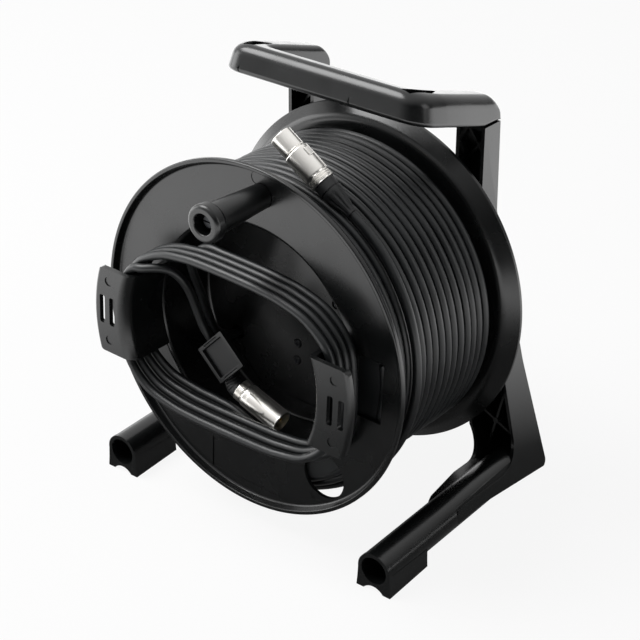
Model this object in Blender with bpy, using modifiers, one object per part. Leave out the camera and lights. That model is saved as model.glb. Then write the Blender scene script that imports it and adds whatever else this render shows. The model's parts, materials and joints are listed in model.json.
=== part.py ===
"""A reel for a long microphone lead: a carrying frame, a drum that turns on an axle behind it, the wound
lead, and the spare end of the lead, which hangs in loops round two cleats on the drum's face.

Drum space has its origin at the centre of the front rim: X to the right, Y back along the axle, Z up.
The frame leans the whole reel back a little, so an empty turns and lifts drum space onto the ground."""

import math

import bmesh
import bpy
from mathutils.geometry import intersect_line_line_2d
from mathutils import Matrix, Vector

OBJECT_NAME = "xlr_cable_reel"

# How the reel stands
AXIS_HEIGHT = 0.1625
LEAN = math.radians(4.13)
DRUM_REST_TURN = math.radians(1.5)

# Clearances
GAP = 0.0003
RUNNING_GAP = 0.0003
LOOP_GAP = 0.0010

# Front half of the drum: dished flange, hub cup and its floor
FLANGE_RADIUS = 0.1425
RIM_WIDTH = 0.003
RIM_BAND = 0.0033
DISH_DEPTH = 0.0055
DISH_SLOPE = 0.002
FLANGE_WALL = 0.003
HUB_RADIUS = 0.0915
HUB_WALL = 0.003
HUB_EDGE = 0.004
HUB_DEPTH = 0.058
FLOOR_WALL = 0.006
LEAD_HOLE_RADIUS = 0.0187
LEAD_HOLE_REACH = 0.1158
LEAD_HOLE_ANGLE = math.radians(-51.6)
PANEL_WIDTH = 0.077
PANEL_DEPTH = 0.001
FLOOR_PANEL_DEPTH = 0.002

# Rear half of the drum
REAR_PLATE_Y = 0.141
REAR_RIM_Y = 0.1535
REAR_FLARE = 0.0105
AXLE_BOSS_WALL = 0.0057
AXLE_BOSS_FRONT = 0.070
POST_RADIUS = 0.0045
SCREW_REACHES = (0.027, 0.042)
SCREWS_AROUND = 3
SCREW_HEAD_RADIUS = 0.0034
SCREW_HEAD_HEIGHT = 0.0022
SCREW_SHANK_RADIUS = 0.0018
SCREW_LENGTH = 0.020

# Axle, its bushes and the brake
AXLE_RADIUS = 0.010
AXLE_FRONT = 0.072
BUSH_WALL = 0.003
BUSH_FLANGE_RADIUS = 0.018
BUSH_FLANGE = 0.002
BUSH_LENGTH = 0.012
THRUST_WASHER = 0.0018
HUB_PLATE_FRONT = 0.1565
HUB_PLATE_BACK = 0.1815
HUB_PLATE_WALL = 0.005
HUB_PLATE_HALF_HEIGHT = 0.058
HUB_BOSS_RADIUS = 0.024
BRAKE_DISC = 0.0018
BRAKE_KNOB_RADIUS = 0.020
BRAKE_KNOB_LENGTH = 0.014
BRAKE_KNOB_WALL = 0.003
BRAKE_KNOB_FLUTES = 8
BRAKE_FLUTE_RADIUS = 0.003

# Cleats on the drum's face
CLEAT_HALF_HEIGHT = 0.036
CLEAT_WALL = 0.0035
CLEAT_PLATE_WALL = 0.004
CLEAT_RADIUS = 0.124
CLEAT_DEPTH = 0.036
CLEAT_LIP = 0.009
CLEAT_CORNER = 0.006
CLEAT_SLOTS = (0.1055, 0.1155)
CLEAT_SLOT_WIDTH = 0.0052
CLEAT_SLOT_LENGTH = 0.024
WINDOW_WIDTH = 0.0235
WINDOW_REACH = 0.109
WINDOW_HEIGHT = 0.050

# Crank knob
KNOB_REACH = 0.1195
KNOB_ANGLE = math.radians(87.7)
KNOB_LENGTH = 0.0635
KNOB_BASE_RADIUS = 0.0097
KNOB_BODY_RADIUS = 0.0118
KNOB_END_RADIUS = 0.0145
KNOB_END_LENGTH = 0.011
KNOB_RECESS_RADIUS = 0.0078
KNOB_BASE_LENGTH = 0.012
KNOB_NECK_LENGTH = 0.010
KNOB_RECESS_DEPTH = 0.0105
CRANK_PIN_RADIUS = 0.0045
KNOB_SCREW_RADIUS = 0.0062
KNOB_SCREW_HEIGHT = 0.0035
KNOB_SCREW_SLOT = 0.0012

# Carrying frame
UPRIGHT_OUTER = 0.0941
UPRIGHT_INNER = 0.0685
FRAME_TOP = 0.1458
FRAME_WALL = 0.003
SPLAY_START = 0.071
OUTER_SPLAY = 0.2285
INNER_SPLAY = 0.1335
HEEL_START = -0.112
HEEL_SPLAY = 0.55
LEG_FRONT_TOP = 0.160
LEG_FRONT_BOTTOM = 0.1655
LEG_BACK_TOP = 0.1805
LEG_BACK_SPLAY = 0.1837
LEG_BACK_KNEE = (0.1912, -0.054)
LEG_SWEEP_FRONT = 0.0810
LEG_SWEEP_TOP = -0.1325
LEG_SWEEP_RADIUS = 0.022
LEG_TIP_RADIUS = 0.0065
LEG_TAPER_FRONT = (0.1132, 0.083)
LEG_TAPER_BACK = (0.1065, 0.128)
HEEL_BACK = 0.205
HEEL_FRONT_BOTTOM = -0.1469
HEEL_BOTTOM = -0.1493
CHANNEL_FLOOR = -0.131
RIB_WALL = 0.002
RIB_FRONT = 0.172
LEG_RIB_RISING = (-0.131, -0.062)
LEG_RIB_FALLING = (-0.0937, -0.1145)
UPRIGHT_RIB = (0.110, 0.140)
RIB_BOSS_RADIUS = 0.0026

# Foot tubes and their front pads
FOOT_X = 0.1284
FOOT_Z = -0.1449
FOOT_FRONT = -0.008
FOOT_SPLIT = 0.080
FOOT_BACK = 0.198
FOOT_RISE = 0.05
FOOT_RADIUS = 0.0143
FOOT_COLLAR_RADIUS = 0.0146
FOOT_COLLAR = 0.003
FOOT_BORE = 0.0113
FOOT_BORE_END = 0.150
PAD_BACK = 0.040
PAD_HALF_WIDTH = 0.015
PAD_FLARE = 0.0022
PAD_ARCH_RADIUS = 0.0115
PAD_ARCH_HEIGHT = 0.0036

# Handle
HANDLE_FRONT = 0.075
HANDLE_BAR = 0.025
HANDLE_BACK = 0.1815
HANDLE_FRONT_BOTTOM = 0.1718
HANDLE_FRONT_TOP = 0.1960
HANDLE_BACK_TOP = 0.1644
HANDLE_CORNER = 0.018
HANDLE_INNER_CORNER = 0.012
HANDLE_BACK_CORNER = 0.015
HANDLE_NOSE = 0.008
POCKET_FLOOR = 0.178
POCKET_OUTLINE = ((0.070, 0.082), (0.0815, 0.0795), (0.087, 0.104), (0.078, 0.122))

# Frame bolts
BOLT_RADIUS = 0.002
BOLT_HEAD_RADIUS = 0.0045
BOLT_HEAD_HEIGHT = 0.0035
BOLT_LENGTH = 0.016
BOLT_HEIGHTS = (0.042, -0.042)
BOLT_BLOCK = 0.014
HANDLE_BOLT_Y = 0.172

# Lead
LEAD_RADIUS = 0.0034
WINDING_RADIUS = 0.123
WINDING_TURNS = 15.25
POINTS_PER_LOOP = 24
WINDING_END_ANGLE = math.radians(-170)
SIDE_GAP = 0.0007

# Spare loops round the cleats
SPARE_START_ANGLE = math.radians(125)
SPARE_TURNS = 3.87
SPARE_HALF_WIDTH = 0.0994
SPARE_LEFT_SLACK = 0.0024
SPARE_LEFT_LEAN = 0.0022
SPARE_TOP = (0.0645, -0.0004)
SPARE_BOTTOM = (0.0575, 0.0028)
SPARE_TOP_SQUARENESS = 3.0
SPARE_BOTTOM_SQUARENESS = 3.5
SPARE_SAG = 0.022
SPARE_SAG_TURN = 0.50
SPARE_SAG_SPREAD = 0.08
SPARE_BACK_Y = 0.001
SPARE_FRONT_Y = -0.0276

# Tail of the winding, which rides on top of it to the female plug
TAIL_RADIUS = 0.1305
TAIL_Y = 0.034
TAIL_CLIMB = math.radians(60)
TAIL_SHIFT_START = math.radians(35)
TAIL_SHIFT_END = math.radians(130)
TAIL_POINTS = 28

# Female plug on top of the winding
FEMALE_BACK = Vector((0.0638, 0.0355, 0.1144))
FEMALE_NOSE = Vector((-0.0005, 0.0317, 0.1565))
FEMALE_BOOT = 0.030
FEMALE_SHELL = 0.047
FEMALE_BODY_RADIUS = 0.0101
FEMALE_NOSE_RADIUS = 0.0088
FEMALE_NOSE_LENGTH = 0.0155
FEMALE_GROOVE = 0.0014
FEMALE_GROOVE_RADIUS = 0.0082
FEMALE_RING_RADIUS = 0.0095
FEMALE_RING_LENGTH = 0.006
LATCH_WIDTH = 0.0050
LATCH_LENGTH = 0.0070
LATCH_THICKNESS = 0.0022
LATCH_PROUD = 0.0007
LATCH_TRAVEL = 0.0012

# Male plug in the hub
MALE_BACK = Vector((-0.0150, 0.010, -0.0519))
MALE_FRONT = Vector((0.0263, 0.010, -0.0648))
MALE_RADIUS = 0.0096
MALE_BACK_RADIUS = 0.0088
MALE_SOCKET_DEPTH = 0.0155
PLUG_WALL = 0.0010
PIN_RADIUS = 0.0012
PIN_CIRCLE = 0.0040
PIN_LENGTH = 0.0125
BOOT_TIP_RADIUS = 0.0043
BOOT_BASE_RADIUS = 0.0084
BOOT_STEP = 0.0035

# Label tag clipped on the lead next to the male plug
TAG_CENTRE = Vector((-0.0276, 0.0004, -0.0250))
TAG_TURN = math.radians(42)
TAG_SIZE = 0.026
TAG_THICKNESS = 0.0042
TAG_FRAME = 0.0022
TAG_RECESS = 0.0010

# Free stretches of the lead, as points chosen along the route
SPARE_FEED_ROUTE = (
    (-0.0769, 0.085, -0.0514),
    (-0.0716, 0.085, -0.0478),
    (-0.0650, 0.080, -0.0434),
    (-0.0610, 0.070, -0.0407),
    (-0.0605, 0.058, -0.0400),
    (-0.0608, 0.047, -0.0370),
    (-0.0614, 0.034, -0.0270),
    (-0.0616, 0.024, -0.0076),
    (-0.0604, 0.014, 0.0160),
    (-0.0604, 0.006, 0.0344),
    (-0.0592, 0.0025, 0.0470),
)
PLUG_TAIL_ROUTE = (
    (-0.0978, -0.0278, 0.0300),
    (-0.0905, -0.0276, 0.0405),
    (-0.0815, -0.0268, 0.0430),
    (-0.0720, -0.0215, 0.0445),
    (-0.0645, -0.0150, 0.0425),
    (-0.0590, -0.0095, 0.0355),
    (-0.0555, -0.0045, 0.0250),
    (-0.0530, 0.0000, 0.0110),
    (-0.0490, 0.0045, -0.0070),
    (-0.0422, 0.0085, -0.0205),
)
BOOT_ROUTE = (
    (-0.0303, 0.010, -0.0375),
    (-0.0266, 0.010, -0.0432),
    (-0.0216, 0.010, -0.0482),
)


def collection(name, hidden=False):
    group = bpy.data.collections.new(name)
    bpy.context.scene.collection.children.link(group)
    group.hide_render = hidden
    return group


def material(name, colour, roughness, metallic=0.0):
    made = bpy.data.materials.new(name)
    made.use_nodes = True
    shader = made.node_tree.nodes["Principled BSDF"]
    shader.inputs["Base Color"].default_value = (*colour, 1.0)
    shader.inputs["Roughness"].default_value = roughness
    shader.inputs["Metallic"].default_value = metallic
    return made


def empty(name, parent=None):
    made = bpy.data.objects.new(name, None)
    parts.objects.link(made)
    made.parent = parent
    return made


def place(obj, finish, parent):
    """Puts an object among the parts, or among the cutters when it has no finish."""
    obj.parent = parent
    if finish:
        parts.objects.link(obj)
        obj.data.materials.append(finish)
    else:
        cutters.objects.link(obj)
        obj.hide_render = True
        obj.display_type = "WIRE"
    return obj


def from_bmesh(name, bm, finish, parent):
    bmesh.ops.recalc_face_normals(bm, faces=bm.faces)
    mesh = bpy.data.meshes.new(name)
    bm.to_mesh(mesh)
    bm.free()
    return place(bpy.data.objects.new(name, mesh), finish, parent)


def smooth(obj, degrees=35):
    obj.data.shade_smooth()
    obj.data.set_sharp_from_angle(angle=math.radians(degrees))
    return obj


def box(name, low, high, finish, parent):
    low, high = Vector(low), Vector(high)
    bm = bmesh.new()
    sizes = Matrix.Diagonal((*(high - low), 1))
    bmesh.ops.create_cube(bm, size=1, matrix=Matrix.Translation((low + high) / 2) @ sizes)
    return from_bmesh(name, bm, finish, parent)


def aim(start, direction, up=(0, 0, 1)):
    """A matrix at start whose Z runs along direction and whose X is the nearest to up."""
    z = Vector(direction).normalized()
    y = z.cross(Vector(up)).normalized()
    x = y.cross(z)
    turn = Matrix((x, y, z)).transposed().to_4x4()
    return Matrix.Translation(Vector(start)) @ turn


def rod(name, radius, start, end, finish, parent, sides=24, end_radius=None):
    start, end = Vector(start), Vector(end)
    length = (end - start).length
    up = (1, 0, 0) if abs((end - start).normalized().x) < 0.9 else (0, 0, 1)
    bm = bmesh.new()
    bmesh.ops.create_cone(
        bm,
        cap_ends=True,
        segments=sides,
        radius1=radius,
        radius2=radius if end_radius is None else end_radius,
        depth=length,
        matrix=aim((start + end) / 2, end - start, up),
    )
    return smooth(from_bmesh(name, bm, finish, parent))


def turned(name, profile, finish, parent, steps=40, matrix=None):
    """A profile of (radius, distance along the axis) turned round local Z, which matrix aims."""
    ring = list(profile)
    following = ring[1:] + ring[:1]
    area = sum(a[0] * b[1] - b[0] * a[1] for a, b in zip(ring, following))
    if area > 0:
        ring.reverse()
    edges = [(i, i + 1) for i in range(len(ring) - 1)]
    if ring[0][0] > 0 or ring[-1][0] > 0:
        edges.append((len(ring) - 1, 0))
    mesh = bpy.data.meshes.new(name)
    mesh.from_pydata([(radius, 0, along) for radius, along in ring], edges, [])
    obj = place(bpy.data.objects.new(name, mesh), finish, parent)
    obj.matrix_basis = matrix if matrix else aim((0, 0, 0), (0, 1, 0))
    screw = obj.modifiers.new("turn", "SCREW")
    screw.steps = steps
    screw.render_steps = steps
    screw.use_merge_vertices = True
    screw.merge_threshold = 0.000001
    screw.use_smooth_shade = True
    return obj


def rounded(corners):
    """An outline from (x, y, radius) corners, each rounded where it has a radius."""
    outline = []
    for index, (x, y, radius) in enumerate(corners):
        here = Vector((x, y))
        if radius == 0:
            outline.append(here)
            continue
        before = (Vector(corners[index - 1][:2]) - here).normalized()
        after = (Vector(corners[(index + 1) % len(corners)][:2]) - here).normalized()
        half = before.angle(after) / 2
        centre = here + (before + after).normalized() * radius / math.sin(half)
        first = here + before * radius / math.tan(half) - centre
        last = here + after * radius / math.tan(half) - centre
        sweep = first.angle_signed(last)
        pieces = max(2, math.ceil(abs(sweep) / math.radians(15)))
        for piece in range(pieces + 1):
            outline.append(centre + Matrix.Rotation(-sweep * piece / pieces, 2) @ first)
    return [(point.x, point.y) for point in outline]


VIEW_TURNS = {
    "front": (math.pi / 2, 0, 0),
    "side": (math.pi / 2, 0, math.pi / 2),
    "top": (0, 0, 0),
}


def prism(name, outline, low, high, view, finish, parent):
    """An outline drawn in one view, extruded across it: front is (x, z), side (y, z), top (x, y)."""
    curve = bpy.data.curves.new(name, "CURVE")
    curve.dimensions = "2D"
    curve.fill_mode = "BOTH"
    curve.extrude = (high - low) / 2
    spline = curve.splines.new("POLY")
    spline.points.add(len(outline) - 1)
    for point, (x, y) in zip(spline.points, outline):
        point.co = (x, y, 0, 1)
    spline.use_cyclic_u = True
    guide = bpy.data.objects.new(name + "_outline", curve)
    cutters.objects.link(guide)
    graph = bpy.context.evaluated_depsgraph_get()
    mesh = bpy.data.meshes.new_from_object(guide.evaluated_get(graph))
    bpy.data.objects.remove(guide)
    mesh.name = name
    bm = bmesh.new()
    bm.from_mesh(mesh)
    bmesh.ops.remove_doubles(bm, verts=bm.verts, dist=0.000001)
    bmesh.ops.recalc_face_normals(bm, faces=bm.faces)
    bm.to_mesh(mesh)
    bm.free()
    obj = place(bpy.data.objects.new(name, mesh), finish, parent)
    obj.rotation_euler = VIEW_TURNS[view]
    middle = (low + high) / 2
    obj.location = {"front": (0, middle, 0), "side": (middle, 0, 0), "top": (0, 0, middle)}[view]
    return obj


def combine(target, other, operation):
    step = target.modifiers.new(other.name, "BOOLEAN")
    step.operation = operation
    step.object = other
    step.solver = "EXACT"
    return target


def cut(target, other):
    return combine(target, other, "DIFFERENCE")


def join(target, other):
    return combine(target, other, "UNION")


def keep_common(target, other):
    return combine(target, other, "INTERSECT")


def smooth_route(points, spacing):
    """Points at an even spacing along a smooth curve through the route's own points."""
    route = [Vector(point) for point in points]
    ends = [2 * route[0] - route[1], *route, 2 * route[-1] - route[-2]]
    fine = []
    for a, b, c, d in zip(ends, ends[1:], ends[2:], ends[3:]):
        for piece in range(12):
            t = piece / 12
            bend = 2 * a - 5 * b + 4 * c - d
            twist = 3 * b - a - 3 * c + d
            fine.append(0.5 * (2 * b + (c - a) * t + bend * t**2 + twist * t**3))
    fine.append(route[-1])
    total = sum((b - a).length for a, b in zip(fine, fine[1:]))
    count = max(2, round(total / spacing))
    evened = [fine[0]]
    travelled = 0.0
    for a, b in zip(fine, fine[1:]):
        step = (b - a).length
        while len(evened) < count and travelled + step >= len(evened) * total / count:
            evened.append(a.lerp(b, (len(evened) * total / count - travelled) / step))
        travelled += step
    evened.append(fine[-1])
    return evened


def tube(name, points, radius, finish, parent, resolution=2, radii=None):
    curve = bpy.data.curves.new(name, "CURVE")
    curve.dimensions = "3D"
    curve.bevel_depth = radius
    curve.bevel_resolution = resolution
    curve.use_fill_caps = True
    spline = curve.splines.new("POLY")
    spline.points.add(len(points) - 1)
    for index, point in enumerate(points):
        spline.points[index].co = (*point, 1)
        spline.points[index].radius = radii[index] / radius if radii else 1.0
    return place(bpy.data.objects.new(name, curve), finish, parent)


def polar(reach, angle, y):
    return Vector((reach * math.cos(angle), y, reach * math.sin(angle)))


def least_gap(points, radius):
    """The least clear distance between stretches of one lead that are half a loop or more apart."""
    fine = [a.lerp(b, t / 4) for a, b in zip(points, points[1:]) for t in range(4)]
    skip = 2 * POINTS_PER_LOOP
    return min(
        (fine[i] - fine[j]).length - 2 * radius for i in range(len(fine)) for j in range(i + skip, len(fine))
    )


# Drum

BARREL_RADIUS = HUB_RADIUS + HUB_WALL
THRUST_WASHER_BACK = HUB_PLATE_FRONT - GAP - BUSH_FLANGE - RUNNING_GAP
AXLE_BOSS_BACK = THRUST_WASHER_BACK - THRUST_WASHER - GAP
FLANGE_BACK = DISH_DEPTH + FLANGE_WALL
FLOOR_BACK = HUB_DEPTH + FLOOR_WALL


def make_front_half(finish, drum):
    dish_edge = FLANGE_RADIUS - RIM_WIDTH - DISH_SLOPE
    edge = [
        (
            HUB_RADIUS + HUB_EDGE * (1 - math.cos(math.radians(angle))),
            DISH_DEPTH + HUB_EDGE * (1 - math.sin(math.radians(angle))),
        )
        for angle in (0, 45, 90)
    ]
    profile = [
        (0, HUB_DEPTH),
        (HUB_RADIUS, HUB_DEPTH),
        *edge,
        (dish_edge, DISH_DEPTH),
        (FLANGE_RADIUS - RIM_WIDTH, 0),
        (FLANGE_RADIUS, 0),
        (FLANGE_RADIUS, RIM_BAND),
        (dish_edge, FLANGE_BACK),
        (BARREL_RADIUS, FLANGE_BACK),
        (BARREL_RADIUS, FLOOR_BACK),
        (0, FLOOR_BACK),
    ]
    front = turned("front_drum_half", profile, finish, drum)
    through = (DISH_DEPTH - FLANGE_WALL, FLANGE_BACK + FLANGE_WALL)
    hole = polar(LEAD_HOLE_REACH, LEAD_HOLE_ANGLE, 0)
    hole_ends = [hole + Vector((0, y, 0)) for y in through]
    cut(front, rod("lead_hole", LEAD_HOLE_RADIUS, *hole_ends, None, drum))
    for side in (-1, 1):
        inner, outer = WINDOW_REACH - WINDOW_WIDTH / 2, WINDOW_REACH + WINDOW_WIDTH / 2
        low = (min(side * inner, side * outer), through[0], -WINDOW_HEIGHT / 2)
        high = (max(side * inner, side * outer), through[1], WINDOW_HEIGHT / 2)
        cut(front, box("cleat_window", low, high, None, drum))
    panel_edge = math.sqrt(dish_edge**2 - (PANEL_WIDTH / 2) ** 2) - RIM_WIDTH
    panel_low = (-PANEL_WIDTH / 2, 0, -panel_edge)
    panel_high = (PANEL_WIDTH / 2, DISH_DEPTH + PANEL_DEPTH, -HUB_RADIUS - 2 * HUB_EDGE)
    cut(front, box("flange_panel", panel_low, panel_high, None, drum))
    floor_panel = rounded(
        [
            (-0.074, -0.040, 0),
            (-0.0445, -0.012, 0.004),
            (0.003, -0.003, 0),
            (0.046, -0.014, 0.004),
            (0.066, -0.044, 0.004),
            (0.030, -0.076, 0.004),
            (-0.034, -0.076, 0.004),
        ]
    )
    panel_ends = (HUB_DEPTH - FLOOR_PANEL_DEPTH, HUB_DEPTH + FLOOR_PANEL_DEPTH)
    cut(front, prism("floor_panel", floor_panel, *panel_ends, "front", None, drum))
    exit_x, _, exit_z = SPARE_FEED_ROUTE[4]
    exit_ends = ((exit_x, HUB_DEPTH - FLOOR_WALL, exit_z), (exit_x, FLOOR_BACK + FLOOR_WALL, exit_z))
    cut(front, rod("lead_exit", LEAD_RADIUS * 1.8, *exit_ends, None, drum))
    for reach, angle in screw_places():
        head = polar(reach, angle, HUB_DEPTH - FLOOR_WALL)
        seat = polar(reach, angle, HUB_DEPTH + FLOOR_WALL / 2 + GAP)
        back = polar(reach, angle, FLOOR_BACK + FLOOR_WALL)
        cut(front, rod("screw_seat", SCREW_HEAD_RADIUS + GAP, head, seat, None, drum, sides=12))
        cut(front, rod("screw_hole", SCREW_SHANK_RADIUS + GAP, head, back, None, drum, sides=8))
    pin = polar(KNOB_REACH, KNOB_ANGLE, 0)
    pin_ends = [pin + Vector((0, y, 0)) for y in through]
    cut(front, rod("crank_pin_hole", CRANK_PIN_RADIUS + GAP, *pin_ends, None, drum))
    return front


def screw_places():
    return [
        (reach, math.radians(-90 + 360 * index / SCREWS_AROUND))
        for reach in SCREW_REACHES
        for index in range(SCREWS_AROUND)
    ]


def make_rear_half(finish, drum):
    flare = FLANGE_RADIUS - REAR_FLARE
    back = REAR_PLATE_Y + FLANGE_WALL
    boss = AXLE_RADIUS + GAP + AXLE_BOSS_WALL
    front = FLOOR_BACK + GAP
    profile = [
        (BARREL_RADIUS, front),
        (BARREL_RADIUS, REAR_PLATE_Y),
        (flare, REAR_PLATE_Y),
        (FLANGE_RADIUS, REAR_RIM_Y - RIM_BAND),
        (FLANGE_RADIUS, REAR_RIM_Y),
        (FLANGE_RADIUS - RIM_WIDTH, REAR_RIM_Y),
        (FLANGE_RADIUS - RIM_WIDTH, REAR_RIM_Y - RIM_BAND + FLANGE_WALL / 2),
        (flare - FLANGE_WALL / 2, back),
        (boss, back),
        (boss, AXLE_BOSS_BACK),
        (AXLE_RADIUS + GAP, AXLE_BOSS_BACK),
        (AXLE_RADIUS + GAP, AXLE_BOSS_FRONT),
        (boss, AXLE_BOSS_FRONT),
        (boss, REAR_PLATE_Y),
        (HUB_RADIUS, REAR_PLATE_Y),
        (HUB_RADIUS, front),
    ]
    rear = turned("rear_drum_half", profile, finish, drum)
    for reach, angle in screw_places():
        ends = [polar(reach, angle, front), polar(reach, angle, REAR_PLATE_Y + FLANGE_WALL / 2)]
        join(rear, rod("screw_post", POST_RADIUS, *ends, None, drum, sides=10))
        bore = [polar(reach, angle, front - FLOOR_WALL), polar(reach, angle, HUB_DEPTH + SCREW_LENGTH + GAP)]
        cut(rear, rod("post_bore", SCREW_SHANK_RADIUS + GAP, *bore, None, drum, sides=8))
    wall_x, wall_y, wall_z = SPARE_FEED_ROUTE[0]
    outward = Vector((wall_x, 0, wall_z)).normalized()
    start = Vector((wall_x, wall_y, wall_z)) - outward * 2 * HUB_WALL
    cut(rear, rod("lead_wall_hole", LEAD_RADIUS * 1.5, start, start + outward * 5 * HUB_WALL, None, drum))
    return rear


def make_drum_screws(finish, drum):
    for number, (reach, angle) in enumerate(screw_places(), 1):
        head = HUB_DEPTH + FLOOR_WALL / 2
        top = head - SCREW_HEAD_HEIGHT
        profile = [
            (0, top),
            (SCREW_HEAD_RADIUS * 0.8, top),
            (SCREW_HEAD_RADIUS, top + SCREW_HEAD_HEIGHT * 0.4),
            (SCREW_HEAD_RADIUS, head),
            (SCREW_SHANK_RADIUS, head),
            (SCREW_SHANK_RADIUS, HUB_DEPTH + SCREW_LENGTH),
            (0, HUB_DEPTH + SCREW_LENGTH),
        ]
        place_at = aim(polar(reach, angle, 0), (0, 1, 0))
        screw = turned(f"drum_screw_{number}", profile, finish, drum, steps=8, matrix=place_at)
        slot_low = (-SCREW_HEAD_RADIUS * 0.6, -0.0005, top - 0.0005)
        slot_high = (SCREW_HEAD_RADIUS * 0.6, 0.0005, top + 0.0009)
        for turn in (0, math.pi / 2):
            slot = box("screw_slot", slot_low, slot_high, None, drum)
            slot.matrix_basis = place_at @ Matrix.Rotation(turn, 4, "Z")
            cut(screw, slot)


def make_cleat(name, side, finish, drum):
    web = HUB_RADIUS + CLEAT_WALL
    back = DISH_DEPTH - GAP
    plate = -CLEAT_DEPTH + CLEAT_PLATE_WALL
    bend = CLEAT_PLATE_WALL
    profile = [
        (HUB_RADIUS, back),
        (HUB_RADIUS, -CLEAT_DEPTH + bend),
        (HUB_RADIUS + bend * 0.3, -CLEAT_DEPTH + bend * 0.3),
        (HUB_RADIUS + bend, -CLEAT_DEPTH),
        (CLEAT_RADIUS - bend, -CLEAT_DEPTH),
        (CLEAT_RADIUS - bend * 0.3, -CLEAT_DEPTH + bend * 0.3),
        (CLEAT_RADIUS, -CLEAT_DEPTH + bend),
        (CLEAT_RADIUS, -CLEAT_DEPTH + CLEAT_LIP),
        (CLEAT_RADIUS - CLEAT_PLATE_WALL * 0.6, -CLEAT_DEPTH + CLEAT_LIP),
        (CLEAT_RADIUS - CLEAT_PLATE_WALL * 0.8, plate),
        (web, plate),
        (web, back),
    ]
    cleat = turned(name, profile, finish, drum, steps=72)
    outline = rounded(
        [
            (side * (HUB_RADIUS - 0.015), -CLEAT_HALF_HEIGHT, 0),
            (side * (CLEAT_RADIUS - 0.004), -CLEAT_HALF_HEIGHT, CLEAT_CORNER),
            (side * (CLEAT_RADIUS + 0.004), 0, 0),
            (side * (CLEAT_RADIUS - 0.004), CLEAT_HALF_HEIGHT, CLEAT_CORNER),
            (side * (HUB_RADIUS - 0.015), CLEAT_HALF_HEIGHT, 0),
        ]
    )
    ends = (-2 * CLEAT_DEPTH, 2 * DISH_DEPTH)
    keep_common(cleat, prism(name + "_outline", outline, *ends, "front", None, drum))
    for reach in CLEAT_SLOTS:
        middle = side * reach
        low = (middle - CLEAT_SLOT_WIDTH / 2, -2 * CLEAT_DEPTH, -CLEAT_SLOT_LENGTH / 2)
        high = (middle + CLEAT_SLOT_WIDTH / 2, plate + CLEAT_PLATE_WALL, CLEAT_SLOT_LENGTH / 2)
        cut(cleat, box("cleat_slot", low, high, None, drum))
    return cleat


def make_knob(plastic, steel, drum):
    """The sleeve turns on a pin in the flange, and a screw in its end recess keeps it on."""
    pivot = empty("knob_axis", drum)
    pivot.location = polar(KNOB_REACH, KNOB_ANGLE, 0)
    base = DISH_DEPTH - RUNNING_GAP
    end = base - KNOB_LENGTH
    recess = end + KNOB_RECESS_DEPTH
    bore = CRANK_PIN_RADIUS + RUNNING_GAP
    flare = end + KNOB_END_LENGTH
    profile = [
        (bore, base),
        (KNOB_BASE_RADIUS, base),
        (KNOB_BASE_RADIUS + 0.0004, base - KNOB_BASE_LENGTH),
        (KNOB_BODY_RADIUS, flare + KNOB_NECK_LENGTH),
        (KNOB_BODY_RADIUS, flare + 0.002),
        (KNOB_END_RADIUS, flare - 0.003),
        (KNOB_END_RADIUS, end + 0.003),
        (KNOB_END_RADIUS - 0.0012, end + 0.0008),
        (KNOB_END_RADIUS - 0.0035, end),
        (KNOB_RECESS_RADIUS + 0.001, end),
        (KNOB_RECESS_RADIUS, end + 0.001),
        (KNOB_RECESS_RADIUS, recess),
        (bore, recess),
    ]
    turned("crank_knob", profile, plastic, pivot, steps=24)
    head = recess - GAP
    rod("crank_pin", CRANK_PIN_RADIUS, (0, FLANGE_BACK - GAP, 0), (0, head + GAP, 0), steel, pivot)
    cap = [
        (0, head),
        (KNOB_SCREW_RADIUS, head),
        (KNOB_SCREW_RADIUS, head - KNOB_SCREW_HEIGHT * 0.6),
        (KNOB_SCREW_RADIUS * 0.7, head - KNOB_SCREW_HEIGHT),
        (0, head - KNOB_SCREW_HEIGHT),
    ]
    screw = turned("knob_screw", cap, steel, pivot, steps=24)
    half = KNOB_SCREW_SLOT / 2
    low = (-KNOB_SCREW_RADIUS, head - 2 * KNOB_SCREW_HEIGHT, -half)
    high = (KNOB_SCREW_RADIUS, head - KNOB_SCREW_HEIGHT * 0.7, half)
    cut(screw, box("knob_screw_slot", low, high, None, pivot))


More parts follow.
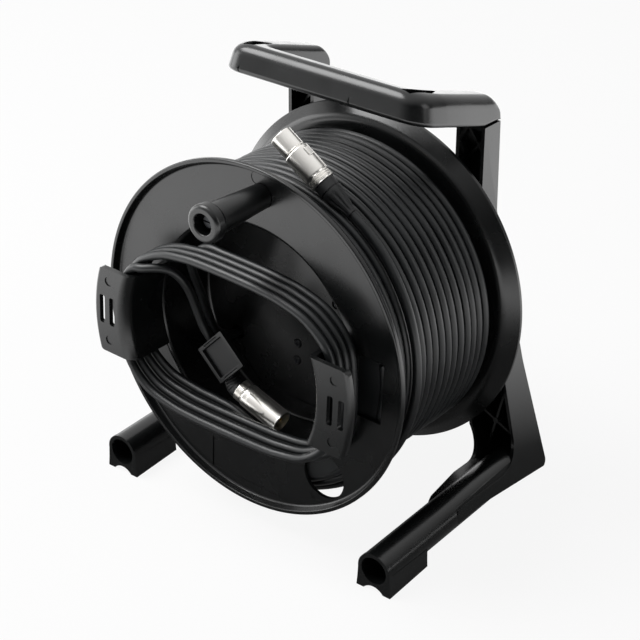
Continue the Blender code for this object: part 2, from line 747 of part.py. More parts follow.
def make_axle(steel, bearing, plastic, drum, frame):
    """The axle is fixed in the drum, turns in two bushes of the hub plate, and ends in the brake knob."""
    bush_outer = AXLE_RADIUS + RUNNING_GAP + BUSH_WALL
    disc_front = HUB_PLATE_BACK + BUSH_FLANGE + GAP + RUNNING_GAP
    knob_front = disc_front + BRAKE_DISC + RUNNING_GAP
    knob_back = knob_front + BRAKE_KNOB_LENGTH
    axle_back = knob_back - BRAKE_KNOB_WALL - RUNNING_GAP
    rod("drum_axle", AXLE_RADIUS, (0, AXLE_FRONT, 0), (0, axle_back, 0), steel, drum)
    washer_front = THRUST_WASHER_BACK - THRUST_WASHER
    washer_back = THRUST_WASHER_BACK
    washer = [
        (AXLE_RADIUS + GAP, washer_front),
        (BUSH_FLANGE_RADIUS, washer_front),
        (BUSH_FLANGE_RADIUS, washer_back),
        (AXLE_RADIUS + GAP, washer_back),
    ]
    turned("thrust_washer", washer, steel, drum, steps=24)
    bushes = (("front_bush", HUB_PLATE_FRONT - GAP, 1), ("rear_bush", HUB_PLATE_BACK + GAP, -1))
    for name, face, inward in bushes:
        profile = [
            (AXLE_RADIUS + RUNNING_GAP, face - inward * BUSH_FLANGE),
            (BUSH_FLANGE_RADIUS, face - inward * BUSH_FLANGE),
            (BUSH_FLANGE_RADIUS, face),
            (bush_outer, face),
            (bush_outer, face + inward * (BUSH_LENGTH - BUSH_FLANGE)),
            (AXLE_RADIUS + RUNNING_GAP, face + inward * (BUSH_LENGTH - BUSH_FLANGE)),
        ]
        turned(name, profile, bearing, frame, steps=24)
    disc = [
        (AXLE_RADIUS + GAP, disc_front),
        (BUSH_FLANGE_RADIUS, disc_front),
        (BUSH_FLANGE_RADIUS, disc_front + BRAKE_DISC),
        (AXLE_RADIUS + GAP, disc_front + BRAKE_DISC),
    ]
    turned("brake_disc", disc, bearing, drum, steps=24)
    knob = [
        (AXLE_RADIUS + RUNNING_GAP, knob_front),
        (BRAKE_KNOB_RADIUS, knob_front),
        (BRAKE_KNOB_RADIUS, knob_back - BRAKE_KNOB_WALL),
        (BRAKE_KNOB_RADIUS - BRAKE_KNOB_WALL, knob_back),
        (0, knob_back),
        (0, knob_back - BRAKE_KNOB_WALL),
        (AXLE_RADIUS + RUNNING_GAP, knob_back - BRAKE_KNOB_WALL),
    ]
    brake = turned("brake_knob", knob, plastic, drum, steps=24)
    for index in range(BRAKE_KNOB_FLUTES):
        angle = 2 * math.pi * index / BRAKE_KNOB_FLUTES
        ends = [polar(BRAKE_KNOB_RADIUS, angle, y) for y in (knob_front - GAP, knob_back + GAP)]
        cut(brake, rod("knob_flute", BRAKE_FLUTE_RADIUS, *ends, None, drum, sides=8))


# Frame


def outer_wall(z):
    return UPRIGHT_OUTER + OUTER_SPLAY * max(0.0, SPLAY_START - z)


def inner_wall(z):
    return UPRIGHT_INNER + INNER_SPLAY * max(0.0, SPLAY_START - z) + HEEL_SPLAY * max(0.0, HEEL_START - z)


def between_walls(name, outline, inset, side, finish, frame):
    """A side view filled out between the leg's two walls, which splay apart below the uprights."""
    obj = prism(name, outline, -1, 1, "side", finish, frame)
    bm = bmesh.new()
    bm.from_mesh(obj.data)
    for level in (SPLAY_START, HEEL_START):
        everything = [*bm.verts, *bm.edges, *bm.faces]
        bmesh.ops.bisect_plane(bm, geom=everything, plane_co=(0, level, 0), plane_no=(0, 1, 0))
    for vertex in bm.verts:
        height = vertex.co.y
        wall = outer_wall(height) - inset if vertex.co.z > 0 else inner_wall(height) + inset
        vertex.co.z = side * wall
    bm.normal_update()
    bmesh.ops.recalc_face_normals(bm, faces=bm.faces)
    bm.to_mesh(obj.data)
    bm.free()
    return obj


def foot_point(side, y):
    return Vector((side * FOOT_X, y, FOOT_Z + FOOT_RISE * (y - FOOT_FRONT)))


def ground_cutter(reel):
    """A block under the ground, which trims whatever would reach below it."""
    block = box("ground", (-0.3, -0.3, -0.1), (0.3, 0.5, 0), None, None)
    block.parent = reel
    block.matrix_parent_inverse = reel.matrix_world.inverted()
    return block


def back_wall(z):
    """How far back the leg reaches at a height."""
    knee_y, knee_z = LEG_BACK_KNEE
    if z > SPLAY_START:
        share = (z - SPLAY_START) / (FRAME_TOP - SPLAY_START)
        return LEG_BACK_SPLAY + share * (LEG_BACK_TOP - LEG_BACK_SPLAY)
    if z > knee_z:
        share = (z - knee_z) / (SPLAY_START - knee_z)
        return knee_y + share * (LEG_BACK_SPLAY - knee_y)
    share = (knee_z - z) / (knee_z - HEEL_BOTTOM)
    return knee_y + share * (HEEL_BACK - knee_y)


def rib(name, side, start, end, frame):
    """A rib across the channel, from (x, z) to (x, z)."""
    start, end = Vector(start), Vector(end)
    across = (end - start).normalized().orthogonal() * RIB_WALL / 2
    corners = [start + across, end + across, end - across, start - across]
    outline = [(side * corner.x, corner.y) for corner in corners]
    back = back_wall((start.y + end.y) / 2) - FRAME_WALL / 2
    return prism(name, outline, RIB_FRONT, back, "front", None, frame)


def leg_taper(side, reel):
    """A wedge beside the foot tube, so that the leg's inner wall narrows into the tube."""
    front_x, front_y = LEG_TAPER_FRONT
    back_x, back_y = LEG_TAPER_BACK
    open_x, open_y = front_x - 0.03, front_y - 0.01
    corners = [(open_x, open_y), (front_x, open_y), (front_x, front_y), (back_x, back_y), (open_x, back_y)]
    outline = [(side * x, y) for x, y in corners]
    return prism("leg_taper", outline, HEEL_BOTTOM - 0.01, CHANNEL_FLOOR + 0.01, "top", None, reel)


def across_channel(from_z, to_z):
    """A rib's two ends, inside the inner wall at one height and inside the outer wall at another."""
    near = Vector((inner_wall(from_z) + FRAME_WALL / 2, from_z))
    far = Vector((outer_wall(to_z) - FRAME_WALL / 2, to_z))
    return near, far


def make_side_frame(name, side, finish, reel, ground):
    knee_y, knee_z = LEG_BACK_KNEE
    outline = rounded(
        [
            (LEG_FRONT_TOP, FRAME_TOP, 0),
            (LEG_FRONT_BOTTOM, LEG_SWEEP_TOP, LEG_SWEEP_RADIUS),
            (LEG_SWEEP_FRONT, LEG_SWEEP_TOP, LEG_TIP_RADIUS),
            (LEG_SWEEP_FRONT, HEEL_FRONT_BOTTOM, LEG_TIP_RADIUS),
            (HEEL_BACK, HEEL_BOTTOM, 0.006),
            (knee_y, knee_z, 0.1),
            (LEG_BACK_SPLAY, SPLAY_START, 0.1),
            (LEG_BACK_TOP, FRAME_TOP, 0),
        ]
    )
    piece = between_walls(name, outline, 0, side, finish, reel)
    inside = [
        (LEG_FRONT_TOP - 0.03, FRAME_TOP - FRAME_WALL),
        (back_wall(FRAME_TOP) - FRAME_WALL, FRAME_TOP - FRAME_WALL),
        (LEG_BACK_SPLAY - FRAME_WALL, SPLAY_START),
        (knee_y - FRAME_WALL, knee_z),
        (back_wall(CHANNEL_FLOOR) - FRAME_WALL, CHANNEL_FLOOR),
        (LEG_FRONT_TOP - 0.03, CHANNEL_FLOOR),
    ]
    cut(piece, between_walls(name + "_channel", inside, FRAME_WALL, side, None, reel))
    for heights in (UPRIGHT_RIB, UPRIGHT_RIB[::-1], LEG_RIB_RISING, LEG_RIB_FALLING):
        join(piece, rib("rib", side, *across_channel(*heights), reel))
    x, z = intersect_line_line_2d(*across_channel(*LEG_RIB_RISING), *across_channel(*LEG_RIB_FALLING))
    ends = ((side * x, RIB_FRONT - 0.0005, z), (side * x, back_wall(z) - FRAME_WALL / 2, z))
    join(piece, rod("rib_boss", RIB_BOSS_RADIUS, *ends, None, reel, sides=8))
    cut(piece, leg_taper(side, reel))
    joint = foot_point(side, FOOT_SPLIT + GAP)
    join(piece, rod("foot_tube_back", FOOT_RADIUS, joint, foot_point(side, FOOT_BACK), None, reel))
    bore = (foot_point(side, FOOT_FRONT - 0.01), foot_point(side, FOOT_BORE_END))
    cut(piece, rod("foot_bore", FOOT_BORE, *bore, None, reel))
    cut(piece, ground)
    for height in BOLT_HEIGHTS:
        wall = inner_wall(height)
        ends = ((side * (wall - 0.01), bolt_y(), height), (side * (wall + 0.01), bolt_y(), height))
        cut(piece, rod("bolt_hole", BOLT_RADIUS + GAP, *ends, None, reel, sides=16))
    middle = side * (UPRIGHT_INNER + UPRIGHT_OUTER) / 2
    ends = ((middle, HANDLE_BOLT_Y, FRAME_TOP - 0.01), (middle, HANDLE_BOLT_Y, FRAME_TOP + 0.01))
    cut(piece, rod("handle_bolt_hole", BOLT_RADIUS + GAP, *ends, None, reel, sides=16))
    return piece


def make_foot_tube(name, side, finish, reel, ground):
    start, end = foot_point(side, FOOT_FRONT), foot_point(side, FOOT_SPLIT)
    piece = rod(name, FOOT_RADIUS, start, end, finish, reel)
    collar_end = foot_point(side, FOOT_FRONT + FOOT_COLLAR)
    join(piece, rod("collar", FOOT_COLLAR_RADIUS, start, collar_end, None, reel))
    centre = side * FOOT_X
    floor = -AXIS_HEIGHT - 0.02
    pad = [
        (centre - PAD_HALF_WIDTH, FOOT_Z),
        (centre - PAD_HALF_WIDTH, FOOT_Z - 0.010),
        (centre - PAD_HALF_WIDTH - PAD_FLARE, floor),
        (centre + PAD_HALF_WIDTH + PAD_FLARE, floor),
        (centre + PAD_HALF_WIDTH, FOOT_Z - 0.010),
        (centre + PAD_HALF_WIDTH, FOOT_Z),
    ]
    join(piece, prism("pad", pad, FOOT_FRONT + 0.0002, PAD_BACK, "front", None, reel))
    sole = -(AXIS_HEIGHT - FOOT_FRONT * math.sin(LEAN)) / math.cos(LEAN)
    arch = sole + PAD_ARCH_HEIGHT - PAD_ARCH_RADIUS
    arch_rise = math.tan(LEAN)
    arch_reach = (FOOT_FRONT - 0.02, PAD_BACK + 0.02)
    arch_ends = [(centre, y, arch + arch_rise * (y - FOOT_FRONT)) for y in arch_reach]
    cut(piece, rod("pad_arch", PAD_ARCH_RADIUS, *arch_ends, None, reel))
    bore = (foot_point(side, FOOT_FRONT - 0.02), foot_point(side, FOOT_SPLIT + 0.02))
    cut(piece, rod("tube_bore", FOOT_BORE, *bore, None, reel))
    cut(piece, ground)
    return piece


def make_handle(finish, reel):
    side_view = rounded(
        [
            (HANDLE_FRONT, HANDLE_FRONT_BOTTOM, 0.004),
            (LEG_FRONT_TOP, FRAME_TOP + GAP, 0),
            (LEG_BACK_TOP, FRAME_TOP + GAP, 0),
            (HANDLE_BACK, HANDLE_BACK_TOP, HANDLE_BACK_CORNER),
            (HANDLE_FRONT, HANDLE_FRONT_TOP, HANDLE_NOSE),
        ]
    )
    handle = prism("handle", side_view, -UPRIGHT_OUTER, UPRIGHT_OUTER, "side", finish, reel)
    outer, inner = UPRIGHT_OUTER + 0.0001, UPRIGHT_INNER
    bar_back, past = HANDLE_FRONT + HANDLE_BAR, HANDLE_BACK + 0.02
    plan = rounded(
        [
            (-outer, past, 0),
            (-outer, HANDLE_FRONT, HANDLE_CORNER),
            (outer, HANDLE_FRONT, HANDLE_CORNER),
            (outer, past, 0),
            (inner, past, 0),
            (inner, bar_back, HANDLE_INNER_CORNER),
            (-inner, bar_back, HANDLE_INNER_CORNER),
            (-inner, past, 0),
        ]
    )
    keep_common(handle, prism("handle_plan", plan, FRAME_TOP - 0.02, 0.25, "top", None, reel))
    for side in (-1, 1):
        outline = [(side * x, y) for x, y in POCKET_OUTLINE]
        cut(handle, prism("handle_pocket", outline, POCKET_FLOOR, 0.25, "top", None, reel))
        middle = side * (UPRIGHT_INNER + UPRIGHT_OUTER) / 2
        top = FRAME_TOP - FRAME_WALL + BOLT_LENGTH + GAP
        ends = ((middle, HANDLE_BOLT_Y, FRAME_TOP - 0.01), (middle, HANDLE_BOLT_Y, top))
        cut(handle, rod("handle_bolt_bore", BOLT_RADIUS + GAP, *ends, None, reel, sides=16))
    return handle


def bolt_y():
    return (HUB_PLATE_BACK + LEG_BACK_TOP) / 2 - BOLT_BLOCK / 2


def make_hub_plate(finish, reel):
    """The cross member between the two side frames, which carries the axle."""
    high, low = HUB_PLATE_HALF_HEIGHT, -HUB_PLATE_HALF_HEIGHT
    top, bottom = inner_wall(high) - GAP, inner_wall(low) - GAP
    outline = [(-top, high), (top, high), (bottom, low), (-bottom, low)]
    wall_front = HUB_PLATE_BACK - HUB_PLATE_WALL
    plate = prism("hub_plate", outline, wall_front, HUB_PLATE_BACK, "front", finish, reel)
    boss_ends = ((0, HUB_PLATE_FRONT, 0), (0, HUB_PLATE_BACK, 0))
    join(plate, rod("hub_boss", HUB_BOSS_RADIUS, *boss_ends, None, reel))
    for side in (-1, 1):
        for height in BOLT_HEIGHTS:
            face = inner_wall(height + BOLT_BLOCK / 2) - 2 * GAP
            near, far = side * (face - BOLT_BLOCK - 0.004), side * face
            low_corner = (min(near, far), bolt_y() - BOLT_BLOCK / 2, height - BOLT_BLOCK / 2)
            high_corner = (max(near, far), HUB_PLATE_BACK - GAP, height + BOLT_BLOCK / 2)
            join(plate, box("bolt_block", low_corner, high_corner, None, reel))
            deep, clear = side * (face - BOLT_LENGTH + 0.001), side * (face + 0.01)
            ends = ((deep, bolt_y(), height), (clear, bolt_y(), height))
            cut(plate, rod("block_bore", BOLT_RADIUS + GAP, *ends, None, reel, sides=16))
    bore = AXLE_RADIUS + RUNNING_GAP + BUSH_WALL + GAP
    bore_ends = ((0, HUB_PLATE_FRONT - 0.01, 0), (0, HUB_PLATE_BACK + 0.01, 0))
    cut(plate, rod("bush_bore", bore, *bore_ends, None, reel))
    return plate


def make_bolt(name, start, direction, finish, reel):
    profile = [
        (0, -BOLT_HEAD_HEIGHT),
        (BOLT_HEAD_RADIUS * 0.85, -BOLT_HEAD_HEIGHT),
        (BOLT_HEAD_RADIUS, -BOLT_HEAD_HEIGHT * 0.6),
        (BOLT_HEAD_RADIUS, 0),
        (BOLT_RADIUS, 0),
        (BOLT_RADIUS, BOLT_LENGTH),
        (0, BOLT_LENGTH),
    ]
    up = (0, 1, 0)
    return turned(name, profile, finish, reel, steps=8, matrix=aim(start, direction, up))


def make_bolts(finish, reel):
    for side, side_name in ((-1, "left"), (1, "right")):
        for height, level in zip(BOLT_HEIGHTS, ("upper", "lower")):
            lean_room = BOLT_HEAD_RADIUS * INNER_SPLAY + GAP
            start = (side * (inner_wall(height) + FRAME_WALL + lean_room), bolt_y(), height)
            make_bolt(f"frame_bolt_{level}_{side_name}", start, (-side, 0, 0), finish, reel)
        middle = side * (UPRIGHT_INNER + UPRIGHT_OUTER) / 2
        start = (middle, HANDLE_BOLT_Y, FRAME_TOP - FRAME_WALL - GAP)
        make_bolt(f"handle_bolt_{side_name}", start, (0, 0, 1), finish, reel)


# Lead

WINDING_FRONT = FLANGE_BACK + LEAD_RADIUS + SIDE_GAP
WINDING_BACK = REAR_PLATE_Y - LEAD_RADIUS - SIDE_GAP
WINDING_PITCH = (WINDING_BACK - WINDING_FRONT) / WINDING_TURNS
LEAD_DIAMETER = 2 * LEAD_RADIUS


def winding_points():
    """The outer layer, wound from the back to the front, with straight ends one diameter long."""
    count = round(WINDING_TURNS * POINTS_PER_LOOP)
    points = []
    for index in range(count + 1):
        back_turns = WINDING_TURNS * (1 - index / count)
        angle = WINDING_END_ANGLE - 2 * math.pi * back_turns
        points.append(polar(WINDING_RADIUS, angle, WINDING_FRONT + WINDING_PITCH * back_turns))
    first = points[0] - tangent(points[0]) * LEAD_DIAMETER
    last = points[-1] + tangent(points[-1]) * LEAD_DIAMETER
    return [first, *points, last]


def tangent(point):
    """The way round the drum at a point, anticlockwise from the front."""
    return Vector((-point.z, 0, point.x)).normalized()


def make_winding(finish, drum):
    facet = math.cos(math.pi / POINTS_PER_LOOP)
    core = WINDING_RADIUS * facet - LEAD_RADIUS - LOOP_GAP
    inner = BARREL_RADIUS + GAP
    front, back = FLANGE_BACK + GAP, REAR_PLATE_Y - GAP
    profile = [(inner, front), (core, front), (core, back), (inner, back)]
    turned("winding_core", profile, finish, drum)
    points = winding_points()
    print("winding, least gap to itself in mm:", round(1000 * least_gap(points, LEAD_RADIUS), 2))
    tube("winding_outer_layer", points, LEAD_RADIUS, finish, drum, resolution=1)


def spare_point(turns):
    """A point of the loops, side by side along the cleats' walls, each hanging lower than the last.

    The first loop sags furthest, down to the flange at the lower right.
    """
    angle = SPARE_START_ANGLE - 2 * math.pi * turns
    above = math.sin(angle) > 0
    first, step = SPARE_TOP if above else SPARE_BOTTOM
    squareness = SPARE_TOP_SQUARENESS if above else SPARE_BOTTOM_SQUARENESS
    half_width = SPARE_HALF_WIDTH
    if math.cos(angle) < 0:
        half_width += SPARE_LEFT_SLACK + SPARE_LEFT_LEAN * math.sin(angle)
    across = abs(math.cos(angle) / half_width) ** squareness
    upward = abs(math.sin(angle) / (first + step * turns)) ** squareness
    sag = SPARE_SAG * math.exp(-(((turns - SPARE_SAG_TURN) / SPARE_SAG_SPREAD) ** 2))
    depth = SPARE_BACK_Y + (SPARE_FRONT_Y - SPARE_BACK_Y) * turns / SPARE_TURNS
    return polar((across + upward) ** (-1 / squareness) + sag, angle, depth)


def spare_points():
    """The loops round the cleats, with straight ends one diameter long."""
    count = round(SPARE_TURNS * POINTS_PER_LOOP)
    points = [spare_point(SPARE_TURNS * index / count) for index in range(-1, count + 2)]
    points[0] = points[1] + (points[0] - points[1]).normalized() * LEAD_DIAMETER
    points[-1] = points[-2] + (points[-1] - points[-2]).normalized() * LEAD_DIAMETER
    return points


def make_spare_lead(finish, drum):
    points = spare_points()
    print("spare loops, least gap to themselves in mm:", round(1000 * least_gap(points, LEAD_RADIUS), 2))
    tube("spare_loops", points, LEAD_RADIUS, finish, drum, resolution=1)
    spacing = 2.2 * LEAD_DIAMETER
    arriving = (points[1] - points[0]).normalized()
    feed_end = points[0] - arriving * GAP
    feed = smooth_route([*SPARE_FEED_ROUTE, feed_end - arriving * LEAD_DIAMETER], spacing)
    tube("spare_feed", [*feed, feed_end], LEAD_RADIUS, finish, drum, resolution=2)
    leaving = (points[-1] - points[-2]).normalized()
    tail_start = points[-1] + leaving * GAP
    boot_start = Vector(BOOT_ROUTE[0])
    onward = (Vector(BOOT_ROUTE[1]) - boot_start).normalized()
    tail_end = boot_start - onward * GAP
    route = [tail_start + leaving * LEAD_DIAMETER, *PLUG_TAIL_ROUTE, tail_end - onward * LEAD_DIAMETER]
    tail = [tail_start, *smooth_route(route, spacing), tail_end]
    tube("plug_tail", tail, LEAD_RADIUS, finish, drum, resolution=2)


def ease(value):
    value = min(1.0, max(0.0, value))
    return value * value * (3 - 2 * value)


def tail_points():
    """From the winding's front end, up on top of it, and round to the female plug."""
    along = (FEMALE_NOSE - FEMALE_BACK).normalized()
    winding_end = winding_points()[-1]
    onward = tangent(winding_end)
    straight = winding_end + onward * (GAP + LEAD_DIAMETER)
    start = math.atan2(straight.z, straight.x)
    start_reach = math.hypot(straight.x, straight.z)
    approach = FEMALE_BACK - along * (GAP + 2 * LEAD_DIAMETER)
    finish_angle = math.atan2(approach.z, approach.x)
    finish_reach = math.hypot(approach.x, approach.z)
    points = [winding_end + onward * GAP, straight]
    for index in range(1, TAIL_POINTS):
        swept = (finish_angle - start) * index / TAIL_POINTS
        left = finish_angle - start - swept
        reach = start_reach + (TAIL_RADIUS - start_reach) * ease(swept / TAIL_CLIMB)
        reach += (finish_reach - TAIL_RADIUS) * ease(1 - left / TAIL_CLIMB)
        shift = ease((swept - TAIL_SHIFT_START) / (TAIL_SHIFT_END - TAIL_SHIFT_START))
        y = WINDING_FRONT + (TAIL_Y - WINDING_FRONT) * shift
        y += (approach.y - TAIL_Y) * ease(1 - left / TAIL_CLIMB)
        points.append(polar(reach, start + swept, y))
    return [*points, approach, FEMALE_BACK - along * (GAP + LEAD_DIAMETER), FEMALE_BACK - along * GAP]


def plug_matrix(start, end):
    """Places a plug along Z from its back, with X facing outwards from the drum's axis."""
    middle = (start + end) / 2
    return aim(start, end - start, Vector((middle.x, 0, middle.z)))


def pin_places():
    return [
        (PIN_CIRCLE * math.cos(angle), PIN_CIRCLE * math.sin(angle))
        for angle in (math.radians(degrees) for degrees in (180, 60, 300))
    ]


def place_on(obj, matrix):
    obj.matrix_basis = matrix @ obj.matrix_basis
    return obj


def make_female_plug(metal, rubber, plastic, contact, drum):
    matrix = plug_matrix(FEMALE_BACK, FEMALE_NOSE)
    boot = [
        (0, 0),
        (BOOT_TIP_RADIUS, 0),
        (BOOT_TIP_RADIUS + 0.0006, FEMALE_BOOT * 0.35),
        (BOOT_BASE_RADIUS - 0.0008, FEMALE_BOOT * 0.62),
        (BOOT_BASE_RADIUS, FEMALE_BOOT * 0.72),
        (BOOT_BASE_RADIUS, FEMALE_BOOT),
        (0, FEMALE_BOOT),
    ]
    turned("female_boot", boot, rubber, drum, steps=20, matrix=matrix)
    back = FEMALE_BOOT + GAP
    nose = FEMALE_BOOT + FEMALE_SHELL
    groove = nose - FEMALE_NOSE_LENGTH - FEMALE_GROOVE
    body = back + FEMALE_RING_LENGTH
    bore = FEMALE_GROOVE_RADIUS - PLUG_WALL
    shell = [
        (bore, back),
        (FEMALE_RING_RADIUS, back),
        (FEMALE_RING_RADIUS, body - 0.0006),
        (FEMALE_BODY_RADIUS, body),
        (FEMALE_BODY_RADIUS, groove - 0.0006),
        (FEMALE_BODY_RADIUS - 0.0006, groove),
        (FEMALE_GROOVE_RADIUS, groove),
        (FEMALE_GROOVE_RADIUS, groove + FEMALE_GROOVE),
        (FEMALE_NOSE_RADIUS, groove + FEMALE_GROOVE),
        (FEMALE_NOSE_RADIUS, nose - 0.0006),
        (FEMALE_NOSE_RADIUS - 0.0006, nose),
        (bore, nose),
    ]
    metal_shell = turned("female_shell", shell, metal, drum, steps=20, matrix=matrix)
    latch_back = groove - LATCH_LENGTH - 0.003
    half = LATCH_WIDTH / 2
    slot = box(
        "latch_slot",
        (0, -half - GAP, latch_back - GAP),
        (2 * FEMALE_BODY_RADIUS, half + GAP, latch_back + LATCH_LENGTH + GAP),
        None,
        drum,
    )
    cut(metal_shell, place_on(slot, matrix))
    latch_top = FEMALE_BODY_RADIUS + LATCH_PROUD
    latch_low = (latch_top - LATCH_THICKNESS, -half, latch_back)
    latch_high = (latch_top, half, latch_back + LATCH_LENGTH)
    place_on(box("female_latch", latch_low, latch_high, metal, drum), matrix)
    insert_back = back + 0.004
    insert_radius = bore - GAP
    insert_face = nose - 0.001
    ends = ((0, 0, insert_back), (0, 0, insert_face))
    insert = place_on(rod("female_insert", insert_radius, *ends, plastic, drum, sides=20), matrix)
    room = latch_top - LATCH_THICKNESS - LATCH_TRAVEL - GAP
    notch_low = (room, -half - GAP, latch_back - GAP)
    notch_high = (2 * FEMALE_BODY_RADIUS, half + GAP, latch_back + LATCH_LENGTH + GAP)
    cut(insert, place_on(box("latch_notch", notch_low, notch_high, None, drum), matrix))
    for number, (x, y) in enumerate(pin_places(), 1):
        ends = ((x, y, nose - 0.018), (x, y, nose + 0.01))
        hole = rod("contact_hole", PIN_RADIUS + 2 * GAP, *ends, None, drum, sides=12)
        cut(insert, place_on(hole, matrix))
        ends = ((x, y, nose - 0.018 + GAP), (x, y, nose - 0.008))
        place_on(rod(f"female_contact_{number}", PIN_RADIUS, *ends, contact, drum, sides=10), matrix)


def make_male_plug(metal, rubber, plastic, contact, drum):
    matrix = plug_matrix(MALE_BACK, MALE_FRONT)
    length = (MALE_FRONT - MALE_BACK).length
    bore = MALE_BACK_RADIUS - PLUG_WALL
    mouth = MALE_RADIUS - PLUG_WALL
    socket = length - MALE_SOCKET_DEPTH
    shell = [
        (bore, GAP),
        (MALE_BACK_RADIUS, GAP),
        (MALE_BACK_RADIUS, 0.006),
        (MALE_RADIUS, 0.008),
        (MALE_RADIUS, length - 0.0005),
        (MALE_RADIUS - 0.0005, length),
        (mouth, length),
        (mouth, socket),
        (bore, socket),
    ]
    turned("male_shell", shell, metal, drum, steps=20, matrix=matrix)
    ends = ((0, 0, 0.004), (0, 0, socket))
    insert = place_on(rod("male_insert", bore - GAP, *ends, plastic, drum, sides=20), matrix)
    pin_end = socket + PIN_LENGTH
    for number, (x, y) in enumerate(pin_places(), 1):
        ends = ((x, y, socket - 0.006), (x, y, socket + 0.01))
        hole = rod("pin_hole", PIN_RADIUS + GAP, *ends, None, drum, sides=12)
        cut(insert, place_on(hole, matrix))
        ends = ((x, y, socket - 0.006 + GAP), (x, y, pin_end))
        place_on(rod(f"male_pin_{number}", PIN_RADIUS, *ends, contact, drum, sides=10), matrix)
    along = (MALE_FRONT - MALE_BACK).normalized()
    points = [*smooth_route([*BOOT_ROUTE, MALE_BACK - along * BOOT_STEP], BOOT_STEP), MALE_BACK]
    spread = BOOT_BASE_RADIUS - BOOT_TIP_RADIUS
    radii = [BOOT_TIP_RADIUS + spread * ease(index / (len(points) - 1)) for index in range(len(points))]
    tube("male_boot", points, BOOT_BASE_RADIUS, rubber, drum, resolution=4, radii=radii)


def make_tag(finish, drum):
    """A flat holder for a paper label, clipped to the front of the lead."""
    matrix = Matrix.Translation(TAG_CENTRE) @ Matrix.Rotation(TAG_TURN, 4, "Y")
    half = TAG_SIZE / 2
    tag = place_on(box("label_tag", (-half, 0, -half), (half, TAG_THICKNESS, half), finish, drum), matrix)
    inner = half - TAG_FRAME
    recess = box("tag_recess", (-inner, -TAG_RECESS, -inner), (inner, TAG_RECESS, inner), None, drum)
    cut(tag, place_on(recess, matrix))
    return tag


def centre_over_ground(reel, cord_names):
    """Moves the reel so that the middle of its box, without the loose lead, is over the origin."""
    bpy.context.view_layer.update()
    graph = bpy.context.evaluated_depsgraph_get()
    across, back = [], []
    for obj in parts.objects:
        if obj.type != "MESH" or obj.name.startswith(cord_names):
            continue
        evaluated = obj.evaluated_get(graph)
        mesh = evaluated.to_mesh()
        for vertex in mesh.vertices:
            point = evaluated.matrix_world @ vertex.co
            across.append(point.x)
            back.append(point.y)
        evaluated.to_mesh_clear()
    reel.location.x -= (min(across) + max(across)) / 2
    reel.location.y -= (min(back) + max(back)) / 2


for old in list(bpy.data.objects):
    bpy.data.objects.remove(old)
parts = collection(OBJECT_NAME)
cutters = collection("cutters", hidden=True)

frame_plastic = material("frame_black_plastic", (0.020, 0.022, 0.024), 0.38)
drum_plastic = material("drum_black_plastic", (0.024, 0.026, 0.027), 0.42)
grip_plastic = material("grip_black_plastic", (0.016, 0.017, 0.018), 0.45)
lead_jacket = material("lead_black_jacket", (0.018, 0.020, 0.022), 0.55)
boot_rubber = material("boot_black_rubber", (0.014, 0.015, 0.017), 0.6)
plug_nickel = material("plug_nickel", (0.72, 0.71, 0.69), 0.28, 1.0)
axle_steel = material("axle_steel", (0.45, 0.46, 0.47), 0.35, 1.0)
bush_nylon = material("bush_nylon", (0.60, 0.60, 0.56), 0.5)
contact_gold = material("contact_gold", (0.80, 0.62, 0.30), 0.3, 1.0)

reel_stand = empty("reel_stand")
reel_stand.rotation_euler.x = -LEAN
reel_stand.location.z = AXIS_HEIGHT
drum_axis = empty("drum_axis", reel_stand)
drum_axis.rotation_euler.y = DRUM_REST_TURN
bpy.context.view_layer.update()

trim = ground_cutter(reel_stand)
for side_sign, side_word in ((-1, "left"), (1, "right")):
    make_side_frame(f"side_frame_{side_word}", side_sign, frame_plastic, reel_stand, trim)
    make_foot_tube(f"foot_tube_{side_word}", side_sign, frame_plastic, reel_stand, trim)
    make_cleat(f"cleat_{side_word}", side_sign, drum_plastic, drum_axis)
make_handle(frame_plastic, reel_stand)
make_hub_plate(frame_plastic, reel_stand)
make_bolts(axle_steel, reel_stand)
make_front_half(drum_plastic, drum_axis)
make_rear_half(drum_plastic, drum_axis)
make_drum_screws(axle_steel, drum_axis)
make_knob(grip_plastic, axle_steel, drum_axis)
make_axle(axle_steel, bush_nylon, grip_plastic, drum_axis, reel_stand)
make_winding(lead_jacket, drum_axis)
make_spare_lead(lead_jacket, drum_axis)
tube("female_tail", tail_points(), LEAD_RADIUS, lead_jacket, drum_axis, resolution=2)
make_female_plug(plug_nickel, boot_rubber, grip_plastic, contact_gold, drum_axis)
make_male_plug(plug_nickel, boot_rubber, grip_plastic, contact_gold, drum_axis)
make_tag(grip_plastic, drum_axis)
centre_over_ground(reel_stand, ("spare", "plug", "female", "male", "label"))
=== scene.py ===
# %% [markdown]
# # A reel for a long microphone lead
# The reel is a black moulded frame that leans back a little, a drum that turns on an axle in it, some
# fifty metres of lead wound on the drum, and the lead's spare end in loops round two cleats. The packed
# CAD model comes in first as a fixed frame. Its solids are plain, so the cells below dress each of them.

# %% Load the fixed frame
import json
import math

import bmesh
import bpy
import numpy as np
from mathutils import Matrix


